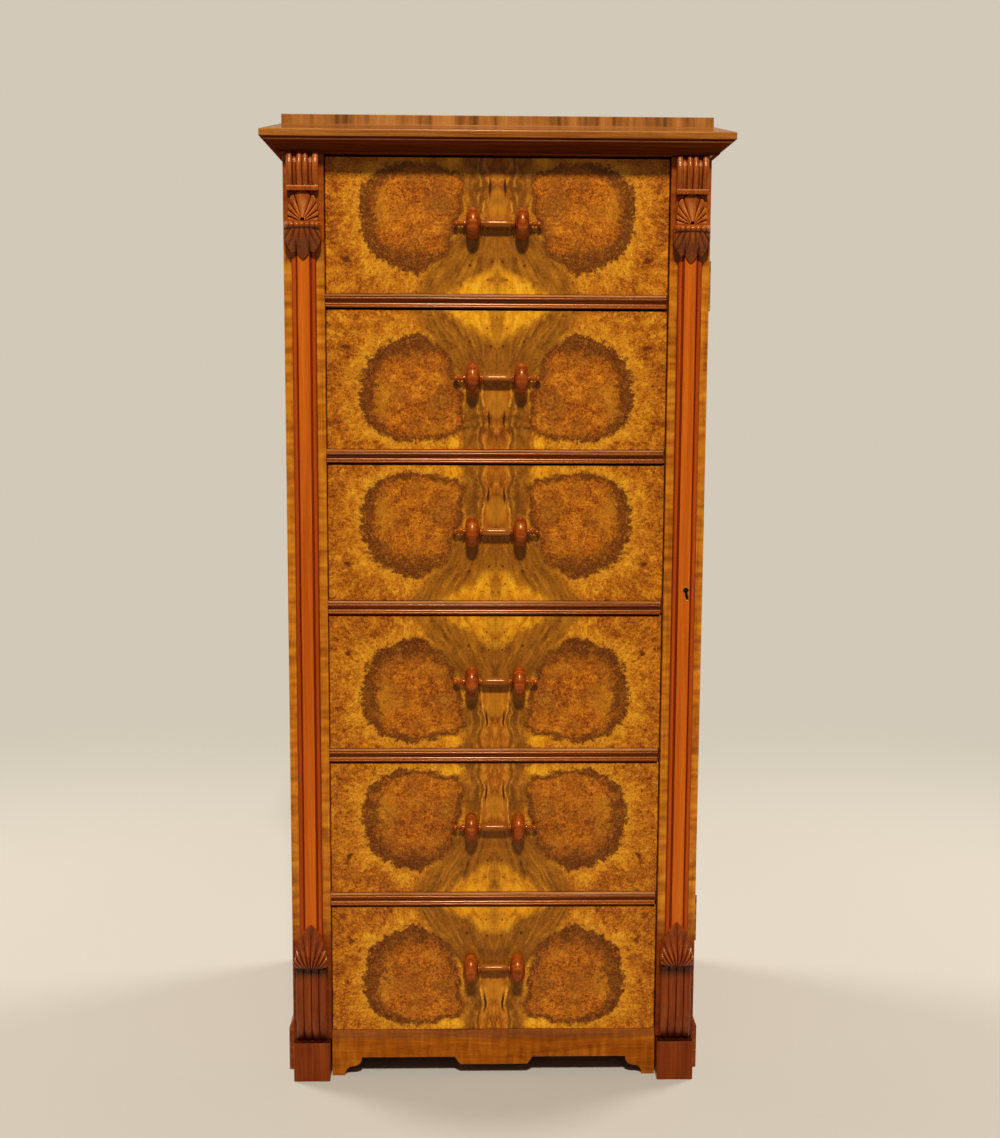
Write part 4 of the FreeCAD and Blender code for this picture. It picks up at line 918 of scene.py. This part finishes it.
# carves one applied piece: a fine grid set to the relief, its rim taken back to the pilaster's face
def carvePiece(name, node, relief, hangs, material):
    low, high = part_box(node)
    middleX, backY = (low.x + high.x) / 2, high.y
    bpy.ops.object.select_all(action="DESELECT")
    bpy.ops.mesh.primitive_grid_add(x_subdivisions=carving["across"], y_subdivisions=carving["down"], size=1)
    piece = bpy.context.object
    piece.name = name
    for vertex in piece.data.vertices:
        x, height, far = relief(2 * vertex.co.x, 0.5 - vertex.co.y)
        z = high.z - far * mm if hangs else low.z + far * mm
        vertex.co = (middleX + x * mm, backY - height * mm, z)
    bpy.ops.object.modifier_add(type="SMOOTH")
    piece.modifiers[-1].factor = carving["smooth"]
    piece.modifiers[-1].iterations = carving["smoothTimes"]
    bpy.ops.object.modifier_apply(modifier=piece.modifiers[-1].name)
    bpy.ops.object.mode_set(mode="EDIT")
    bpy.ops.mesh.select_all(action="SELECT")
    bpy.ops.mesh.remove_doubles(threshold=carving["weld"] * mm)
    bpy.ops.mesh.select_all(action="DESELECT")
    bpy.ops.mesh.select_mode(type="EDGE")
    bpy.ops.mesh.select_non_manifold()
    bpy.ops.mesh.extrude_region_move()
    bpy.ops.transform.resize(value=(1, 0, 1), center_override=(middleX, backY, 0))
    bpy.ops.mesh.edge_face_add()
    bpy.ops.mesh.select_all(action="SELECT")
    bpy.ops.mesh.normals_make_consistent(inside=False)
    bpy.ops.object.mode_set(mode="OBJECT")
    bpy.ops.object.shade_smooth_by_angle(angle=math.radians(carving["shade"]))
    piece.data.materials.append(material)
    return piece


shellEnd = topCorbel["rollAt"] - topCorbel["rollHalf"]
for post in ("left", "flap"):
    node = post + "_top_corbel"
    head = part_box(node)[1].z
    corbel = carvePiece(node + "_carved", node, topCorbelRelief, True, reedWalnut)
    # the shell is paler than the reeds above it, and the hanging leaf is painted darker, as shade where it
    # faces down under the roll
    faceWith(corbel, shellWalnut,
             lambda face: topCorbel["blockEnd"] < (head - face.center.z) / mm < shellEnd)
    faceWith(corbel, leafShadeWalnut, lambda face: (head - face.center.z) / mm > topCorbel["rollEnd"])
    fitPiece(corbel, node)
    node = post + "_bottom_bracket"
    bracket = carvePiece(node + "_carved", node, lowBracketRelief, False, bracketWalnut)
    fitPiece(bracket, node)
print("carvings done")


# stage: a pale floor that fades out into the same pale backdrop; lengths in metres
stageLook = {"floor": "#B9B0A0", "backdrop": "#D2C9B8", "radius": 3.0, "fadeFrom": 0.9, "fadeTo": 2.2,
             "sides": 128}
bpy.ops.object.select_all(action="DESELECT")
bpy.ops.mesh.primitive_circle_add(vertices=stageLook["sides"], radius=stageLook["radius"], fill_type="NGON")
floor = bpy.context.object
floor.name = "floor"
paper = bpy.data.materials.new("studio_paper")  # matt paper, with no glint
paper.use_nodes = True
paper.node_tree.nodes.clear()
add = partial(addNode, paper.node_tree)
matt = add("BsdfDiffuse", {"Color": toLinear(stageLook["floor"])})
clear = add("BsdfTransparent")
place = add("TexCoord", out=3)
far = add("VectorMath", {0: place}, out=1, operation="LENGTH")
fading = add("MapRange", {0: far, 1: stageLook["fadeFrom"], 2: stageLook["fadeTo"]}, **smoothStep)
ground = add("MixShader", {0: fading, 1: matt, 2: clear})
add("OutputMaterial", {"Surface": ground})
floor.data.materials.append(paper)

# light: one soft lamp high in front, two weak ones for the sides and back, and an even fill all round
# each lamp with its name, place and size in metres, and watts
studioLight = {"aim": (0.0, -0.1, 0.62), "fill": 0.12,
               "lamps": [("key_lamp", (0.0, -4.2, 5.3), 0.6, 450.0),
                         ("side_lamp_0", (-2.6, 1.3, 2.1), 1.4, 80.0),
                         ("side_lamp_1", (2.6, 1.3, 2.1), 1.4, 80.0)]}
world = bpy.data.worlds.new("studio")
bpy.context.scene.world = world
world.use_nodes = True
world.node_tree.nodes.clear()
add = partial(addNode, world.node_tree)
seen = add("LightPath").node.outputs
shown = add("Math", {0: seen["Is Camera Ray"], 1: seen["Is Glossy Ray"]}, operation="MAXIMUM")
shown = add("Math", {0: shown, 1: seen["Is Transmission Ray"]}, operation="MAXIMUM")
fill = add("Background", {"Color": (1, 1, 1, 1), "Strength": studioLight["fill"]})
backdrop = add("Background", {"Color": toLinear(stageLook["backdrop"]), "Strength": 1.0})
sky = add("MixShader", {0: shown, 1: fill, 2: backdrop})
add("OutputWorld", {"Surface": sky})
for name, place, size, watts in studioLight["lamps"]:
    lamp = bpy.data.lights.new(name, "AREA")
    lamp.shape = "DISK"
    lamp.size = size
    lamp.energy = watts
    lampObject = bpy.data.objects.new(name, lamp)
    bpy.context.scene.collection.objects.link(lampObject)
    lampObject.location = place
    lampObject.visible_glossy = name == "key_lamp"  # the side lamps would glare in the polished top
    lampWay = Vector(studioLight["aim"]) - Vector(place)
    lampObject.rotation_euler = lampWay.to_track_quat("-Z", "Y").to_euler()

# camera: standing in front, a little above the middle, looking slightly down; metres, degrees, lens in mm
cameraFit = {"place": (-0.0412, -2.0727, 0.9051), "pitch": 7.54, "yaw": 1.40, "roll": 0.29, "lens": 49.03,
             "sensor": 36.0}
pitch, yaw, roll = (math.radians(cameraFit[turn]) for turn in ("pitch", "yaw", "roll"))
ahead = Vector((math.sin(yaw) * math.cos(pitch), math.cos(yaw) * math.cos(pitch), -math.sin(pitch)))
right = Vector((math.cos(yaw), -math.sin(yaw), 0))
up = right.cross(ahead)
tiltRight = math.cos(roll) * right + math.sin(roll) * up
tiltUp = math.cos(roll) * up - math.sin(roll) * right
camera = bpy.data.cameras.new("photo_camera")
camera.sensor_fit = "VERTICAL"
camera.sensor_height = cameraFit["sensor"]
camera.lens = cameraFit["lens"]
cameraObject = bpy.data.objects.new("photo_camera", camera)
bpy.context.scene.collection.objects.link(cameraObject)
stand = Matrix((tiltRight, tiltUp, -ahead)).transposed().to_4x4()
stand.translation = cameraFit["place"]
cameraObject.matrix_world = stand
bpy.context.scene.camera = cameraObject
bpy.context.scene.view_settings.view_transform = "Standard"
print("stage, light and camera set")
